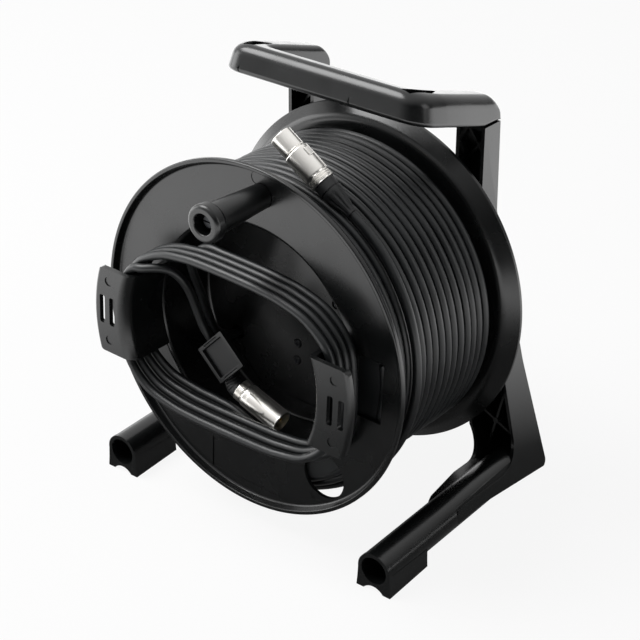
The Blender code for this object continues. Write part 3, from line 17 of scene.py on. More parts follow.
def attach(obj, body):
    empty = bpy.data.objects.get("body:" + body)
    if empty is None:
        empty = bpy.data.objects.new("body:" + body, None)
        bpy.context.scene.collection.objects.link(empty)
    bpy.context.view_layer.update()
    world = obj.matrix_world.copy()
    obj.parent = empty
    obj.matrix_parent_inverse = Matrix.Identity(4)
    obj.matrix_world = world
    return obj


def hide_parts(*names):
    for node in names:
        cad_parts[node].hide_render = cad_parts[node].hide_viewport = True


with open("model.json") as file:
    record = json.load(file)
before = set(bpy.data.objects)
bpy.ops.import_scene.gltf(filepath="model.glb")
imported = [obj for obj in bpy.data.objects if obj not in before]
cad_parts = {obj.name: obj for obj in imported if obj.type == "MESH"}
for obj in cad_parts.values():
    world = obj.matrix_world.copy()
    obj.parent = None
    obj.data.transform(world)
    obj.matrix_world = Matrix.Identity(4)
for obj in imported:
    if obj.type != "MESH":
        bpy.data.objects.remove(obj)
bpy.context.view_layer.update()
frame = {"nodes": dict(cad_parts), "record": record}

# %% [markdown]
# ## Two spaces: the reel's own and the drum's
# Every size below is easier to read in the reel's own space: its origin is the centre of the front rim,
# X runs right, Y back along the axle and Z up. The reel leans back by about four degrees, so one matrix
# lifts that space onto the ground, and a second adds the small turn at which the drum came to rest.

# %% Matrices for the two spaces
AXIS_PLACE = (0.0, -0.075275, 0.1625)
LEAN = math.radians(4.13)
DRUM_TURN = math.radians(1.5)


def rotation(axis, angle):
    """A 4 by 4 turn about X, Y or Z: the two other axes mix by the cosine and sine of the angle."""
    first, second = {"X": (1, 2), "Y": (2, 0), "Z": (0, 1)}[axis]
    made = np.eye(4)
    made[first, first] = made[second, second] = math.cos(angle)
    made[first, second], made[second, first] = -math.sin(angle), math.sin(angle)
    return made


def shift(place):
    made = np.eye(4)
    made[:3, 3] = place
    return made


REEL = shift(AXIS_PLACE) @ rotation("X", -LEAN)
DRUM = REEL @ rotation("Y", DRUM_TURN)


def moved(points, matrix):
    """Every row of points, turned and shifted by a 4 by 4 matrix."""
    return np.asarray(points, float) @ matrix[:3, :3].T + matrix[:3, 3]


def aim(start, direction, outward=(0, 0, 1)):
    """A space whose Z runs along a direction and whose X is the nearest to outward."""
    z = np.asarray(direction, float)
    z = z / np.linalg.norm(z)
    y = np.cross(z, np.asarray(outward, float))
    y = y / np.linalg.norm(y)
    made = np.eye(4)
    made[:3, 0], made[:3, 1], made[:3, 2], made[:3, 3] = np.cross(y, z), y, z, start
    return made


# The axle as the Z axis of a turned piece.
AXLE = aim((0, 0, 0), (0, 1, 0))
print("Drum axis at rest:", np.round(DRUM[:3, 1], 4))

# %% [markdown]
# ## The camera
# The photograph was taken from the front right and above, with a fairly long lens, so the drum's circles
# come out as ellipses that hardly shrink towards the back. The camera's place and the three directions of
# its picture were fitted to those circles, and are given here in the reel's own space.

# %% Camera
PICTURE_RIGHT = (0.7819133, 0.6231893, 0.0157062)
PICTURE_DOWN = (0.3062082, -0.3620085, -0.8804467)
VIEW_DIRECTION = (-0.5429992, 0.6932423, -0.4738849)
CAMERA_PLACE = (0.7999676, -0.9351290, 0.6809489)

camera_space = np.eye(4)
camera_space[:3, 0] = PICTURE_RIGHT
camera_space[:3, 1] = -np.asarray(PICTURE_DOWN)
camera_space[:3, 2] = -np.asarray(VIEW_DIRECTION)
camera_space[:3, 3] = CAMERA_PLACE
camera_data = bpy.data.cameras.new("camera")
camera_data.lens = 106.264
camera_data.sensor_width = 36
camera_data.clip_end = 50
camera = bpy.data.objects.new("camera", camera_data)
bpy.context.scene.collection.objects.link(camera)
camera.matrix_world = Matrix(REEL @ camera_space)
bpy.context.scene.camera = camera
print("Camera at", np.round((REEL @ camera_space)[:3, 3], 3))

# %% [markdown]
# ## Finishes
# Nearly everything is black, so the finishes differ in gloss and grain and hardly in colour. Moulded
# plastic has a faint spark-eroded grain. The lead's jacket is softer and duller, the boots duller still,
# and the plugs are satin nickel. Each finish starts from the same recipe: one noise varies the colour and
# the gloss over centimetres, and a second, much finer one becomes the grain.

# %% Helpers for shader nodes


def add_node(tree, kind, values=(), operation=None):
    """A new shader node, with plain values for its inputs by their name or number."""
    made = tree.nodes.new("ShaderNode" + kind)
    if operation:
        made.operation = operation
    for socket, value in dict(values).items():
        made.inputs[socket].default_value = value
    return made


def map_range(tree, source, source_span, target_span):
    """Stretches one span of a source's values to another."""
    spans = dict(zip(("From Min", "From Max", "To Min", "To Max"), (*source_span, *target_span)))
    made = add_node(tree, "MapRange", spans)
    tree.links.new(source, made.inputs["Value"])
    return made.outputs["Result"]


# %% A recipe for a finish
NODE_STEP = 220


def finish(name, dark, light, gloss, grain_size, grain_depth, metal=0.0, patch_size=0.03):
    """A shader that blends dark and light and two roughness values over patches, under a fine grain."""
    made = bpy.data.materials.new(name)
    made.use_nodes = True
    tree = made.node_tree
    link = tree.links.new
    shader = tree.nodes["Principled BSDF"]
    shader.inputs["Metallic"].default_value = metal
    place = add_node(tree, "TexCoord")
    patches = add_node(tree, "TexNoise", {"Scale": 1 / patch_size, "Detail": 4})
    grain = add_node(tree, "TexNoise", {"Scale": 1 / grain_size, "Detail": 2})
    colours = add_node(tree, "Mix")
    colours.data_type = "RGBA"
    colours.inputs[6].default_value = (*dark, 1)
    colours.inputs[7].default_value = (*light, 1)
    bump = add_node(tree, "Bump", {"Distance": grain_depth, "Strength": 0.6})
    roughness = map_range(tree, patches.outputs["Fac"], (0.3, 0.7), gloss)
    link(place.outputs["Object"], patches.inputs["Vector"])
    link(place.outputs["Object"], grain.inputs["Vector"])
    link(patches.outputs["Fac"], colours.inputs[0])
    link(colours.outputs[2], shader.inputs["Base Color"])
    link(roughness, shader.inputs["Roughness"])
    link(grain.outputs["Fac"], bump.inputs["Height"])
    link(bump.outputs["Normal"], shader.inputs["Normal"])
    for index, step in enumerate((place, patches, grain, colours, roughness.node, bump)):
        step.location = (-NODE_STEP * (6 - index), 100 * (index % 3))
    return made


# %% A finish for each slot
SLOT_FINISHES = {
    "frame_plastic": finish(
        "frame_black", (0.0045, 0.0050, 0.0052), (0.0070, 0.0078, 0.0080), (0.20, 0.28), 0.0006, 1e-5
    ),
    "drum_plastic": finish(
        "drum_black", (0.0040, 0.0044, 0.0046), (0.0062, 0.0068, 0.0070), (0.22, 0.30), 0.0005, 1e-5
    ),
    "grip_plastic": finish(
        "grip_black", (0.0040, 0.0043, 0.0045), (0.0060, 0.0065, 0.0068), (0.26, 0.34), 0.0004, 1e-5
    ),
    "lead_jacket": finish(
        "jacket_black", (0.0050, 0.0058, 0.0065), (0.0080, 0.0095, 0.0105), (0.36, 0.46), 0.0006, 2e-5
    ),
    "boot_rubber": finish(
        "boot_black", (0.0040, 0.0045, 0.0050), (0.0065, 0.0072, 0.0080), (0.42, 0.52), 0.0004, 2e-5
    ),
    "plug_nickel": finish(
        "satin_nickel", (0.82, 0.80, 0.76), (0.90, 0.88, 0.84), (0.28, 0.34), 0.0004, 1e-6, 1.0, 0.012
    ),
    "axle_steel": finish(
        "zinc_plate", (0.42, 0.43, 0.44), (0.52, 0.53, 0.54), (0.30, 0.40), 0.0004, 4e-6, 1.0, 0.01
    ),
    "bush_nylon": finish(
        "natural_nylon", (0.55, 0.55, 0.50), (0.62, 0.62, 0.57), (0.40, 0.50), 0.0005, 1e-5
    ),
    "contact_gold": finish(
        "gold_plate", (0.76, 0.57, 0.26), (0.84, 0.65, 0.33), (0.20, 0.28), 0.0003, 1e-6, 1.0, 0.004
    ),
}
black_steel = finish(
    "black_steel", (0.030, 0.031, 0.033), (0.050, 0.052, 0.055), (0.35, 0.45), 0.0004, 4e-6, 1.0, 0.01
)
for part in frame["record"]["subparts"]:
    node = frame["nodes"][part["node"]]
    for slot in node.material_slots:
        blackened = "screw" in part["node"]
        slot.material = black_steel if blackened else SLOT_FINISHES[part["material_slot"]]
print("Finishes:", len(SLOT_FINISHES))

# %% [markdown]
# ## From arrays to pieces
# A piece starts as an array of points and a list of faces. `mesh_object` writes them into a mesh in one
# go, closes the seams and turns the faces outwards. `dress` shades the piece smooth except at real edges,
# gives it its slot's finish, sets it on its body and hides the plain solids that it stands for.

# %% Make a piece from arrays


def mesh_object(name, points, faces, matrix):
    """A mesh object with its place in its points, its doubles merged and its faces pointing out."""
    mesh = bpy.data.meshes.new(name)
    mesh.from_pydata(moved(points, matrix).tolist(), [], faces)
    bm = bmesh.new()
    bm.from_mesh(mesh)
    bmesh.ops.remove_doubles(bm, verts=bm.verts, dist=0.000001)
    bmesh.ops.recalc_face_normals(bm, faces=bm.faces)
    bm.to_mesh(mesh)
    bm.free()
    made = bpy.data.objects.new(name, mesh)
    bpy.context.scene.collection.objects.link(made)
    return made


def settle(made):
    """Keeps what the modifiers make as the object's own mesh."""
    graph = bpy.context.evaluated_depsgraph_get()
    mesh = bpy.data.meshes.new_from_object(made.evaluated_get(graph))
    made.modifiers.clear()
    made.data = mesh
    return made


def combine(made, other, operation):
    """Cuts, joins or keeps what two closed shapes share, and removes the second."""
    step = made.modifiers.new("combine", "BOOLEAN")
    step.operation = operation
    step.object = other
    step.solver = "EXACT"
    settle(made)
    bpy.data.objects.remove(other)
    bm = bmesh.new()
    bm.from_mesh(made.data)
    bmesh.ops.remove_doubles(bm, verts=bm.verts, dist=0.000004)
    bmesh.ops.dissolve_degenerate(bm, edges=bm.edges, dist=0.000002)
    bm.to_mesh(made.data)
    bm.free()
    return made


def soften(made, width, segments=2, degrees=35):
    """Rounds the edges between faces that meet at more than an angle."""
    bevel = made.modifiers.new("soften", "BEVEL")
    bevel.width = width
    bevel.segments = segments
    bevel.limit_method = "ANGLE"
    bevel.angle_limit = math.radians(degrees)
    bevel.use_clamp_overlap = True
    bevel.harden_normals = False
    return settle(made)


def dress(made, body, slot, nodes=(), shading=32):
    """Shades a piece, gives it its slot's finish, sets it on its body and hides the plain solids."""
    made.data.materials.clear()
    made.data.materials.append(SLOT_FINISHES[slot])
    made.data.shade_smooth()
    made.data.set_sharp_from_angle(angle=math.radians(shading))
    weighted = made.modifiers.new("weighted", "WEIGHTED_NORMAL")
    weighted.keep_sharp = True
    settle(made)
    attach(made, body)
    if nodes:
        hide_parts(*nodes)
    print(made.name, "has", len(made.data.polygons), "faces")
    return made


# %% [markdown]
# ## Turned surfaces, outlines and tubes
# Three kinds of surface make nearly all of the reel. A turned surface carries a profile round an axis. A
# plate carries a flat outline straight through a thickness. A tube carries a circle along a path, and the
# circle keeps square to the path by leaning only as much as the path bends. Rounded corners are worked
# out once, for profiles and for outlines.

# %% Rounded outlines


def rounded(corners, step=6):
    """An outline from (x, y, radius) corners. An arc touches both edges, with a point every few degrees."""
    corners = [tuple(corner) + (0,) * (3 - len(corner)) for corner in corners]
    outline = []
    for index, (x, y, radius) in enumerate(corners):
        here = np.array((x, y))
        if radius == 0:
            outline.append(here)
            continue
        before = np.array(corners[index - 1][:2]) - here
        after = np.array(corners[(index + 1) % len(corners)][:2]) - here
        before, after = before / np.linalg.norm(before), after / np.linalg.norm(after)
        half = math.acos(float(np.clip(before @ after, -1, 1))) / 2
        middle = before + after
        centre = here + middle / np.linalg.norm(middle) * radius / math.sin(half)
        start = here + before * radius / math.tan(half) - centre
        end = here + after * radius / math.tan(half) - centre
        sweep = math.atan2(start[0] * end[1] - start[1] * end[0], start @ end)
        count = max(2, math.ceil(abs(math.degrees(sweep)) / step))
        turns = sweep * np.arange(count + 1) / count
        across = start[0] * np.cos(turns) - start[1] * np.sin(turns)
        up = start[0] * np.sin(turns) + start[1] * np.cos(turns)
        outline.extend(centre + np.stack([across, up], axis=1))
    return np.array(outline)


def rectangle(first, second, radius=0.0, step=6):
    """A rounded rectangle between two opposite corners."""
    corners = (first, (second[0], first[1]), second, (first[0], second[1]))
    return rounded([(x, y, radius) for x, y in corners], step)


# %% Turned surfaces


def grid_faces(rows, columns, wrap_rows, wrap_columns):
    """Four-sided faces between neighbours of a grid whose point (row, column) is row * columns + column."""
    row = np.arange(rows if wrap_rows else rows - 1)
    column = np.arange(columns if wrap_columns else columns - 1)
    row, column = (part.ravel() for part in np.meshgrid(row, column, indexing="ij"))
    next_row, next_column = (row + 1) % rows, (column + 1) % columns
    corners = (
        row * columns + column,
        row * columns + next_column,
        next_row * columns + next_column,
        next_row * columns + column,
    )
    return np.stack(corners, axis=1).tolist()


def turned(name, profile, matrix, steps=160, start=0.0, sweep=360.0, swell=None):
    """Radius and height round local Z: x = r cos a, y = r sin a, z = h. swell(a, r, h) may add to r."""
    profile = np.asarray(profile, float)
    whole = sweep == 360.0
    angles = np.radians(start) + np.radians(sweep) * np.arange(steps if whole else steps + 1) / steps
    radius = np.broadcast_to(profile[:, 0], (len(angles), len(profile))).copy()
    height = np.broadcast_to(profile[:, 1], radius.shape)
    if swell is not None:
        radius = radius + np.where(radius > 0, swell(angles[:, None], radius, height), 0)
    points = np.stack([radius * np.cos(angles[:, None]), radius * np.sin(angles[:, None]), height], axis=2)
    on_axis = profile[0, 0] == 0 and profile[-1, 0] == 0
    faces = grid_faces(len(angles), len(profile), whole, not on_axis)
    if not whole:
        faces.append(list(range(len(profile))))
        faces.append(list(range((len(angles) - 1) * len(profile), len(angles) * len(profile))))
    return mesh_object(name, points.reshape(-1, 3), faces, matrix)


# %% Plates and boxes
VIEWS = {"front": (0, 2, 1), "side": (1, 2, 0), "top": (0, 1, 2)}


def plate(name, outline, low, high, view, matrix):
    """A flat outline drawn in one view, carried from low to high across it."""
    outline = np.asarray(outline, float)[:, :2]
    across, up, depth = VIEWS[view]
    count = len(outline)
    points = np.zeros((2 * count, 3))
    points[:, across] = np.tile(outline[:, 0], 2)
    points[:, up] = np.tile(outline[:, 1], 2)
    points[:, depth] = np.repeat((low, high), count)
    around = np.arange(count)
    sides = np.stack([around, (around + 1) % count, (around + 1) % count + count, around + count], axis=1)
    faces = [list(range(count)), list(range(count, 2 * count)), *sides.tolist()]
    return mesh_object(name, points, faces, matrix)


def box(name, low, high, matrix):
    corners = [(low[0], low[1]), (high[0], low[1]), (high[0], high[1]), (low[0], high[1])]
    return plate(name, corners, low[2], high[2], "top", matrix)


# %% Tubes and rods


def tube_points(path, radius, sides):
    """Rings round a path. Each ring's frame is the last one's, turned by the bend between two steps."""
    path = np.asarray(path, float)
    along = np.gradient(path, axis=0)
    along[0], along[-1] = path[1] - path[0], path[-1] - path[-2]
    along = along / np.linalg.norm(along, axis=1, keepdims=True)
    side = np.cross(along[0], (0.3, 0.9, 0.2))
    sides_along = []
    for direction in along:
        side = side - direction * (side @ direction)
        side = side / np.linalg.norm(side)
        sides_along.append(side)
    side = np.array(sides_along)
    other = np.cross(along, side)
    angles = 2 * math.pi * np.arange(sides) / sides
    radius = np.broadcast_to(radius, len(path))
    ring = side[:, None] * np.cos(angles)[None, :, None] + other[:, None] * np.sin(angles)[None, :, None]
    return path[:, None] + ring * radius[:, None, None]


def tube(name, path, radius, matrix, sides=16):
    """A circle carried along a path, closed by a flat end at both ends."""
    rings = tube_points(path, radius, sides)
    faces = grid_faces(len(rings), sides, False, True)
    faces.append(list(range(sides)))
    faces.append(list(range((len(rings) - 1) * sides, len(rings) * sides)))
    return mesh_object(name, rings.reshape(-1, 3), faces, matrix)


def rod(name, radius, start, end, matrix, sides=64):
    return tube(name, [start, end], radius, matrix, sides)


def cut(made, outline, low, high, view, matrix):
    """Takes the shape of a plate out of a piece."""
    return combine(made, plate("cut", outline, low, high, view, matrix), "DIFFERENCE")


def drill(made, radius, start, end, matrix, sides=64):
    """Takes the shape of a rod out of a piece."""
    return combine(made, rod("cut", radius, start, end, matrix, sides), "DIFFERENCE")


# %% Paths


def smooth_path(points, spacing):
    """Even steps along a curve through the points: each stretch is a cubic with its neighbours' slopes."""
    route = np.asarray(points, float)
    padded = np.vstack([2 * route[0] - route[1], route, 2 * route[-1] - route[-2]])
    a, b, c, d = (padded[i : len(padded) - 3 + i, None] for i in range(4))
    t = (np.arange(24) / 24)[None, :, None]
    cubic = 0.5 * (2 * b + (c - a) * t + (2 * a - 5 * b + 4 * c - d) * t**2 + (3 * b - a - 3 * c + d) * t**3)
    return even_path(np.vstack([cubic.reshape(-1, 3), route[-1]]), spacing)


def even_path(path, spacing):
    """The same path with its points at an even spacing."""
    steps = np.concatenate([[0], np.cumsum(np.linalg.norm(np.diff(path, axis=0), axis=1))])
    wanted = np.linspace(0, steps[-1], max(2, round(steps[-1] / spacing)) + 1)
    return np.stack([np.interp(wanted, steps, path[:, axis]) for axis in range(3)], axis=1)


def polar(reach, angle, y):
    """Points at a reach and an angle round the axle, at a depth."""
    reach, angle, y = np.broadcast_arrays(np.asarray(reach, float), angle, y)
    return np.stack([reach * np.cos(angle), y, reach * np.sin(angle)], axis=-1)


def ease(value):
    value = np.clip(value, 0, 1)
    return value * value * (3 - 2 * value)


print("Surface makers ready")

# %% [markdown]
# ## The lead's free ends
# Cords come first, because their length and route are facts. The spare end leaves the drum through a hole
# in the hub's floor, climbs behind the tag, and runs nearly four times round both cleats, side by side from
# the flange to the cleats' plates. Its last stretch drops into the cup to the male plug. The loops are
# squarish ellipses. Each hangs a little lower than the last, and the first sags furthest of all.

# %% Spare end of the lead
LEAD_RADIUS = 0.0034
LEAD_DIAMETER = 2 * LEAD_RADIUS
GAP = 0.0003
SPARE_TURNS = 3.87
HALF_WIDTH, LEFT_SLACK, LEFT_LEAN = 0.0994, 0.0024, 0.0022
TOP_HEIGHT, TOP_STEP, TOP_SQUARENESS = 0.0645, -0.0004, 3.0
BOTTOM_HEIGHT, BOTTOM_STEP, BOTTOM_SQUARENESS = 0.0575, 0.0028, 3.5
SAG, SAG_TURN, SAG_SPREAD = 0.022, 0.50, 0.08
LOOPS_BACK, LOOPS_FRONT = 0.001, -0.0276
SPARE_FEED_ROUTE = (
    (-0.0769, 0.085, -0.0514),
    (-0.0716, 0.085, -0.0478),
    (-0.0650, 0.080, -0.0434),
    (-0.0610, 0.070, -0.0407),
    (-0.0605, 0.058, -0.0400),
    (-0.0608, 0.047, -0.0370),
    (-0.0614, 0.034, -0.0270),
    (-0.0616, 0.024, -0.0076),
    (-0.0604, 0.014, 0.0160),
    (-0.0604, 0.006, 0.0344),
    (-0.0592, 0.0025, 0.0470),
)
PLUG_TAIL_ROUTE = (
    (-0.0978, -0.0278, 0.0300),
    (-0.0905, -0.0276, 0.0405),
    (-0.0815, -0.0268, 0.0430),
    (-0.0720, -0.0215, 0.0445),
    (-0.0645, -0.0150, 0.0425),
    (-0.0590, -0.0095, 0.0355),
    (-0.0555, -0.0045, 0.0250),
    (-0.0530, 0.0000, 0.0110),
    (-0.0490, 0.0045, -0.0070),
    (-0.0422, 0.0085, -0.0205),
)
BOOT_ROUTE = np.array([(-0.0303, 0.010, -0.0375), (-0.0266, 0.010, -0.0432), (-0.0216, 0.010, -0.0482)])
MALE_BACK = np.array((-0.0150, 0.010, -0.0519))
MALE_FRONT = np.array((0.0263, 0.010, -0.0648))


# %% Loops round the cleats


def loop_points(turns):
    """|x / w|^s + |z / h|^s = 1, where s and h differ above and below, plus one bell-shaped sag."""
    angle = math.radians(125) - 2 * math.pi * turns
    above = np.sin(angle) > 0
    squareness = np.where(above, TOP_SQUARENESS, BOTTOM_SQUARENESS)
    half_height = np.where(above, TOP_HEIGHT + TOP_STEP * turns, BOTTOM_HEIGHT + BOTTOM_STEP * turns)
    half_width = HALF_WIDTH + np.where(np.cos(angle) < 0, LEFT_SLACK + LEFT_LEAN * np.sin(angle), 0)
    across = np.abs(np.cos(angle) / half_width) ** squareness
    upward = np.abs(np.sin(angle) / half_height) ** squareness
    sag = SAG * np.exp(-(((turns - SAG_TURN) / SAG_SPREAD) ** 2))
    depth = LOOPS_BACK + (LOOPS_FRONT - LOOPS_BACK) * turns / SPARE_TURNS
    return polar((across + upward) ** (-1 / squareness) + sag, angle, depth)


loops = loop_points(np.linspace(0, SPARE_TURNS, 94))
onward = (BOOT_ROUTE[1] - BOOT_ROUTE[0]) / np.linalg.norm(BOOT_ROUTE[1] - BOOT_ROUTE[0])
tail_end = BOOT_ROUTE[0] - onward * GAP
into_boot = [tail_end - onward * LEAD_DIAMETER, tail_end]
spare_path = smooth_path(np.vstack([SPARE_FEED_ROUTE, loops, PLUG_TAIL_ROUTE, into_boot]), 0.003)
spare_lead = tube("spare_lead", spare_path, LEAD_RADIUS, DRUM)
dress(spare_lead, "drum", "lead_jacket", ("spare_feed", "spare_loops", "plug_tail"), shading=60)

# %% [markdown]
# ## The outer end of the lead
# The winding's last turn climbs onto the layer under it near the bottom of the drum, crosses towards the
# back as it comes up the right-hand side, and ends in the female plug, which lies on top of the winding.

# %% Tail to the female plug
WINDING_RADIUS = 0.123
WINDING_TURNS = 15.25
WINDING_FRONT, WINDING_BACK = 0.0126, 0.1369
WINDING_END = math.radians(-170)
TAIL_RADIUS = 0.1305
TAIL_Y = 0.034
TAIL_CLIMB = math.radians(60)
FEMALE_BACK = np.array((0.0638, 0.0355, 0.1144))
FEMALE_NOSE = np.array((-0.0005, 0.0317, 0.1565))


def winding_path(turn_steps, radius, phase=0.0):
    """A screw line from the back flange to the front one, with a small sway that no two turns share."""
    turns = np.linspace(0, WINDING_TURNS, round(WINDING_TURNS * turn_steps) + 1)
    angle = WINDING_END - 2 * math.pi * (WINDING_TURNS - turns)
    y = WINDING_BACK + (WINDING_FRONT - WINDING_BACK) * turns / WINDING_TURNS
    settled = ease(np.minimum(turns, WINDING_TURNS - turns) / 0.6)
    sway = 0.00022 * np.sin(angle * 1.31 + phase) + 0.00016 * np.sin(angle * 2.17 + 1.3 + phase)
    return polar(radius + settled * 0.0002 * np.sin(angle * 1.73 + phase), angle, y + settled * sway)


winding_line = winding_path(96, WINDING_RADIUS)
winding_end = polar(WINDING_RADIUS, WINDING_END, WINDING_FRONT)
round_drum = np.array((-winding_end[2], 0, winding_end[0])) / WINDING_RADIUS
plug_along = (FEMALE_NOSE - FEMALE_BACK) / np.linalg.norm(FEMALE_NOSE - FEMALE_BACK)
tail_start = winding_end + round_drum * (LEAD_DIAMETER + GAP)
straight = tail_start + round_drum * LEAD_DIAMETER
approach = FEMALE_BACK - plug_along * (GAP + 2 * LEAD_DIAMETER)
start_angle, start_reach = math.atan2(straight[2], straight[0]), math.hypot(straight[0], straight[2])
end_angle, end_reach = math.atan2(approach[2], approach[0]), math.hypot(approach[0], approach[2])
swept = (end_angle - start_angle) * np.arange(1, 28) / 28
left = end_angle - start_angle - swept
tail_reach = start_reach + (TAIL_RADIUS - start_reach) * ease(swept / TAIL_CLIMB)
tail_reach = tail_reach + (end_reach - TAIL_RADIUS) * ease(1 - left / TAIL_CLIMB)
crossing = ease((swept - math.radians(35)) / math.radians(95))
tail_y = WINDING_FRONT + (TAIL_Y - WINDING_FRONT) * crossing
tail_y = tail_y + (approach[1] - TAIL_Y) * ease(1 - left / TAIL_CLIMB)
tail_route = np.vstack(
    [
        tail_start,
        straight,
        polar(tail_reach, start_angle + swept, tail_y),
        approach,
        FEMALE_BACK - plug_along * (GAP + LEAD_DIAMETER),
        FEMALE_BACK - plug_along * GAP,
    ]
)
tail_path = smooth_path(tail_route, 0.004)
female_lead = tube("female_lead", tail_path, LEAD_RADIUS, DRUM)
dress(female_lead, "drum", "lead_jacket", ("female_tail",), shading=60)

# %% [markdown]
# ## The winding
# The lead on the drum is one long screw line. Its outer layer is a tube along that line. Under it, half a
# turn's width to the side, lies a second layer that shows in the grooves, on a plain core that nobody sees.

# %% Winding
UNDER_RADIUS = 0.1172
CORE_RADIUS = 0.1158
CLIMB_TURNS = 0.07
climbed = ease(np.linspace(0, WINDING_TURNS, len(winding_line)) / CLIMB_TURNS)[:, None]
level = climbed + (1 - climbed) * UNDER_RADIUS / WINDING_RADIUS
wound = np.vstack([winding_line * np.hstack([level, np.ones_like(level), level]), tail_start])
winding = tube("winding", wound, LEAD_RADIUS, DRUM, sides=14)
dress(winding, "drum", "lead_jacket", ("winding_outer_layer",), shading=60)

pitch = (WINDING_BACK - WINDING_FRONT) / WINDING_TURNS
under_line = winding_path(72, UNDER_RADIUS, 0.9)[:-36] - np.array((0, pitch / 2, 0))
under_layer = tube("under_layer", under_line, LEAD_RADIUS, DRUM, sides=10)
dress(under_layer, "drum", "lead_jacket", shading=60)
core_profile = [(0.0950, 0.0090), (CORE_RADIUS, 0.0090), (CORE_RADIUS, 0.1405), (0.0950, 0.1405)]
core = turned("winding_core_cover", core_profile, DRUM @ AXLE, steps=128)
dress(core, "drum", "lead_jacket", ("winding_core",))

# %% [markdown]
# ## The front half of the drum
# One moulding makes the dished flange and the deep cup in its middle. Its profile goes from the floor of
# the cup, up the wall, over a rounded edge, across the dish and over the rim, and comes back behind.
# A turned surface of that profile is then cut: a round hole that a plug passes through, a window behind
# each cleat, a shallow panel at the bottom, the lead's hole and the seats of the screws.

# %% Front half
FLANGE_RADIUS = 0.1425
HUB_RADIUS = 0.0915
DISH_DEPTH = 0.0055
FLOOR_Y = 0.058
front_profile = rounded(
    [
        (0.0, FLOOR_Y),
        (HUB_RADIUS, FLOOR_Y, 0.0025),
        (HUB_RADIUS, DISH_DEPTH, 0.004),
        (0.1372, DISH_DEPTH, 0.0020),
        (0.1393, 0.0, 0.0010),
        (FLANGE_RADIUS, 0.0, 0.0012),
        (FLANGE_RADIUS, 0.0034, 0.0008),
        (0.1385, 0.0085, 0.0020),
        (0.0945, 0.0085, 0.001),
        (0.0945, 0.0640),
        (0.0, 0.0640),
    ]
)
front_half = turned("front_half", front_profile, DRUM @ AXLE, steps=224)
PLUG_HOLE_REACH, PLUG_HOLE_TURN, PLUG_HOLE_RADIUS = 0.1158, math.radians(-51.6), 0.0187
hole_place = polar(PLUG_HOLE_REACH, PLUG_HOLE_TURN, 0)
through = np.array((0, 0.02, 0))
drill(front_half, PLUG_HOLE_RADIUS, hole_place - through, hole_place + through, DRUM, 96)
for side in (-1, 1):
    window = rectangle((side * 0.09725, -0.025), (side * 0.12075, 0.025), 0.001)
    cut(front_half, window, -0.01, 0.02, "front", DRUM)
panel = rectangle((-0.0385, -0.1015), (0.0385, -0.129), 0.001)
cut(front_half, panel, -0.01, DISH_DEPTH + 0.0008, "front", DRUM)
floor_panel = rounded(
    [
        (-0.074, -0.040, 0.001),
        (-0.0445, -0.012, 0.003),
        (0.003, -0.003, 0.003),
        (0.046, -0.014, 0.004),
        (0.066, -0.044, 0.004),
        (0.030, -0.076, 0.004),
        (-0.034, -0.076, 0.004),
    ]
)
cut(front_half, floor_panel, FLOOR_Y - 0.004, FLOOR_Y + 0.002, "front", DRUM)
lead_exit = np.array((-0.0605, FLOOR_Y, -0.0400))
drill(front_half, 0.0061, lead_exit - through, lead_exit + through, DRUM, 48)
SCREW_PLACES = [(reach, math.radians(-90 + 120 * turn)) for reach in (0.027, 0.042) for turn in range(3)]
for reach, angle in SCREW_PLACES:
    head = polar(reach, angle, FLOOR_Y - 0.004)
    drill(front_half, 0.0038, head, head + np.array((0, 0.0073, 0)), DRUM, 32)
    drill(front_half, 0.0022, head, head + through, DRUM, 24)
KNOB_REACH, KNOB_TURN = 0.1195, math.radians(87.7)
pin_place = polar(KNOB_REACH, KNOB_TURN, 0)
drill(front_half, 0.0048, pin_place - through, pin_place + through, DRUM, 48)
MARKS = ((0.1323, 90, 0.005), (0.1286, 0, 0.004), (0.1323, 200, 0.005), (0.1286, 300, 0.004))
for reach, degrees, size in MARKS:
    mark = polar(reach, math.radians(degrees), DISH_DEPTH + 0.0004)
    drill(front_half, size, mark - through, mark, DRUM, 48)
soften(front_half, 0.0004, 2, 50)
dress(front_half, "drum", "drum_plastic", ("front_drum_half",))

# %% [markdown]
# ## The rear half of the drum
# The rear half is a plain round plate whose edge bends away from the winding, with the barrel in front of
# it that the lead is wound on and a boss in the middle that the axle passes through.

# %% Rear half
REAR_PLATE_Y = 0.141
REAR_RIM_Y = 0.1535
rear_profile = rounded(
    [
        (0.0945, 0.0643),
        (0.0945, REAR_PLATE_Y, 0.001),
        (0.1320, REAR_PLATE_Y, 0.010),
        (FLANGE_RADIUS, 0.1502, 0.0008),
        (FLANGE_RADIUS, REAR_RIM_Y, 0.0010),
        (0.1395, REAR_RIM_Y, 0.0010),
        (0.1395, 0.1517, 0.0006),
        (0.1305, 0.1440, 0.008),
        (0.0160, 0.1440, 0.001),
        (0.0160, 0.1517, 0.0005),
        (0.0103, 0.1517),
        (0.0103, 0.0700),
        (0.0160, 0.0700),
        (0.0160, REAR_PLATE_Y),
        (HUB_RADIUS, REAR_PLATE_Y),
        (HUB_RADIUS, 0.0643),
    ]
)
rear_half = turned("rear_half", rear_profile, DRUM @ AXLE, steps=224)
RIB_COUNT = 12
for index in range(RIB_COUNT):
    angle = 2 * math.pi * index / RIB_COUNT
    outline = rectangle((0.0155, -0.001), (0.125, 0.001))
    spoke = plate("rib", outline, 0.1438, 0.1458, "top", DRUM @ AXLE @ rotation("Z", angle))
    combine(rear_half, spoke, "UNION")
dress(rear_half, "drum", "drum_plastic", ("rear_drum_half",))

# %% [markdown]
# ## The cleats
# Each cleat is a curved wall that stands up from the edge of the cup, and a plate that bends outwards from
# it and ends in a small lip. Its cross-section is carried round the axle for a sixth of a turn, and what
# lies beyond a rounded outline is trimmed off. Two slots take cable ties. The left one bends more gently.

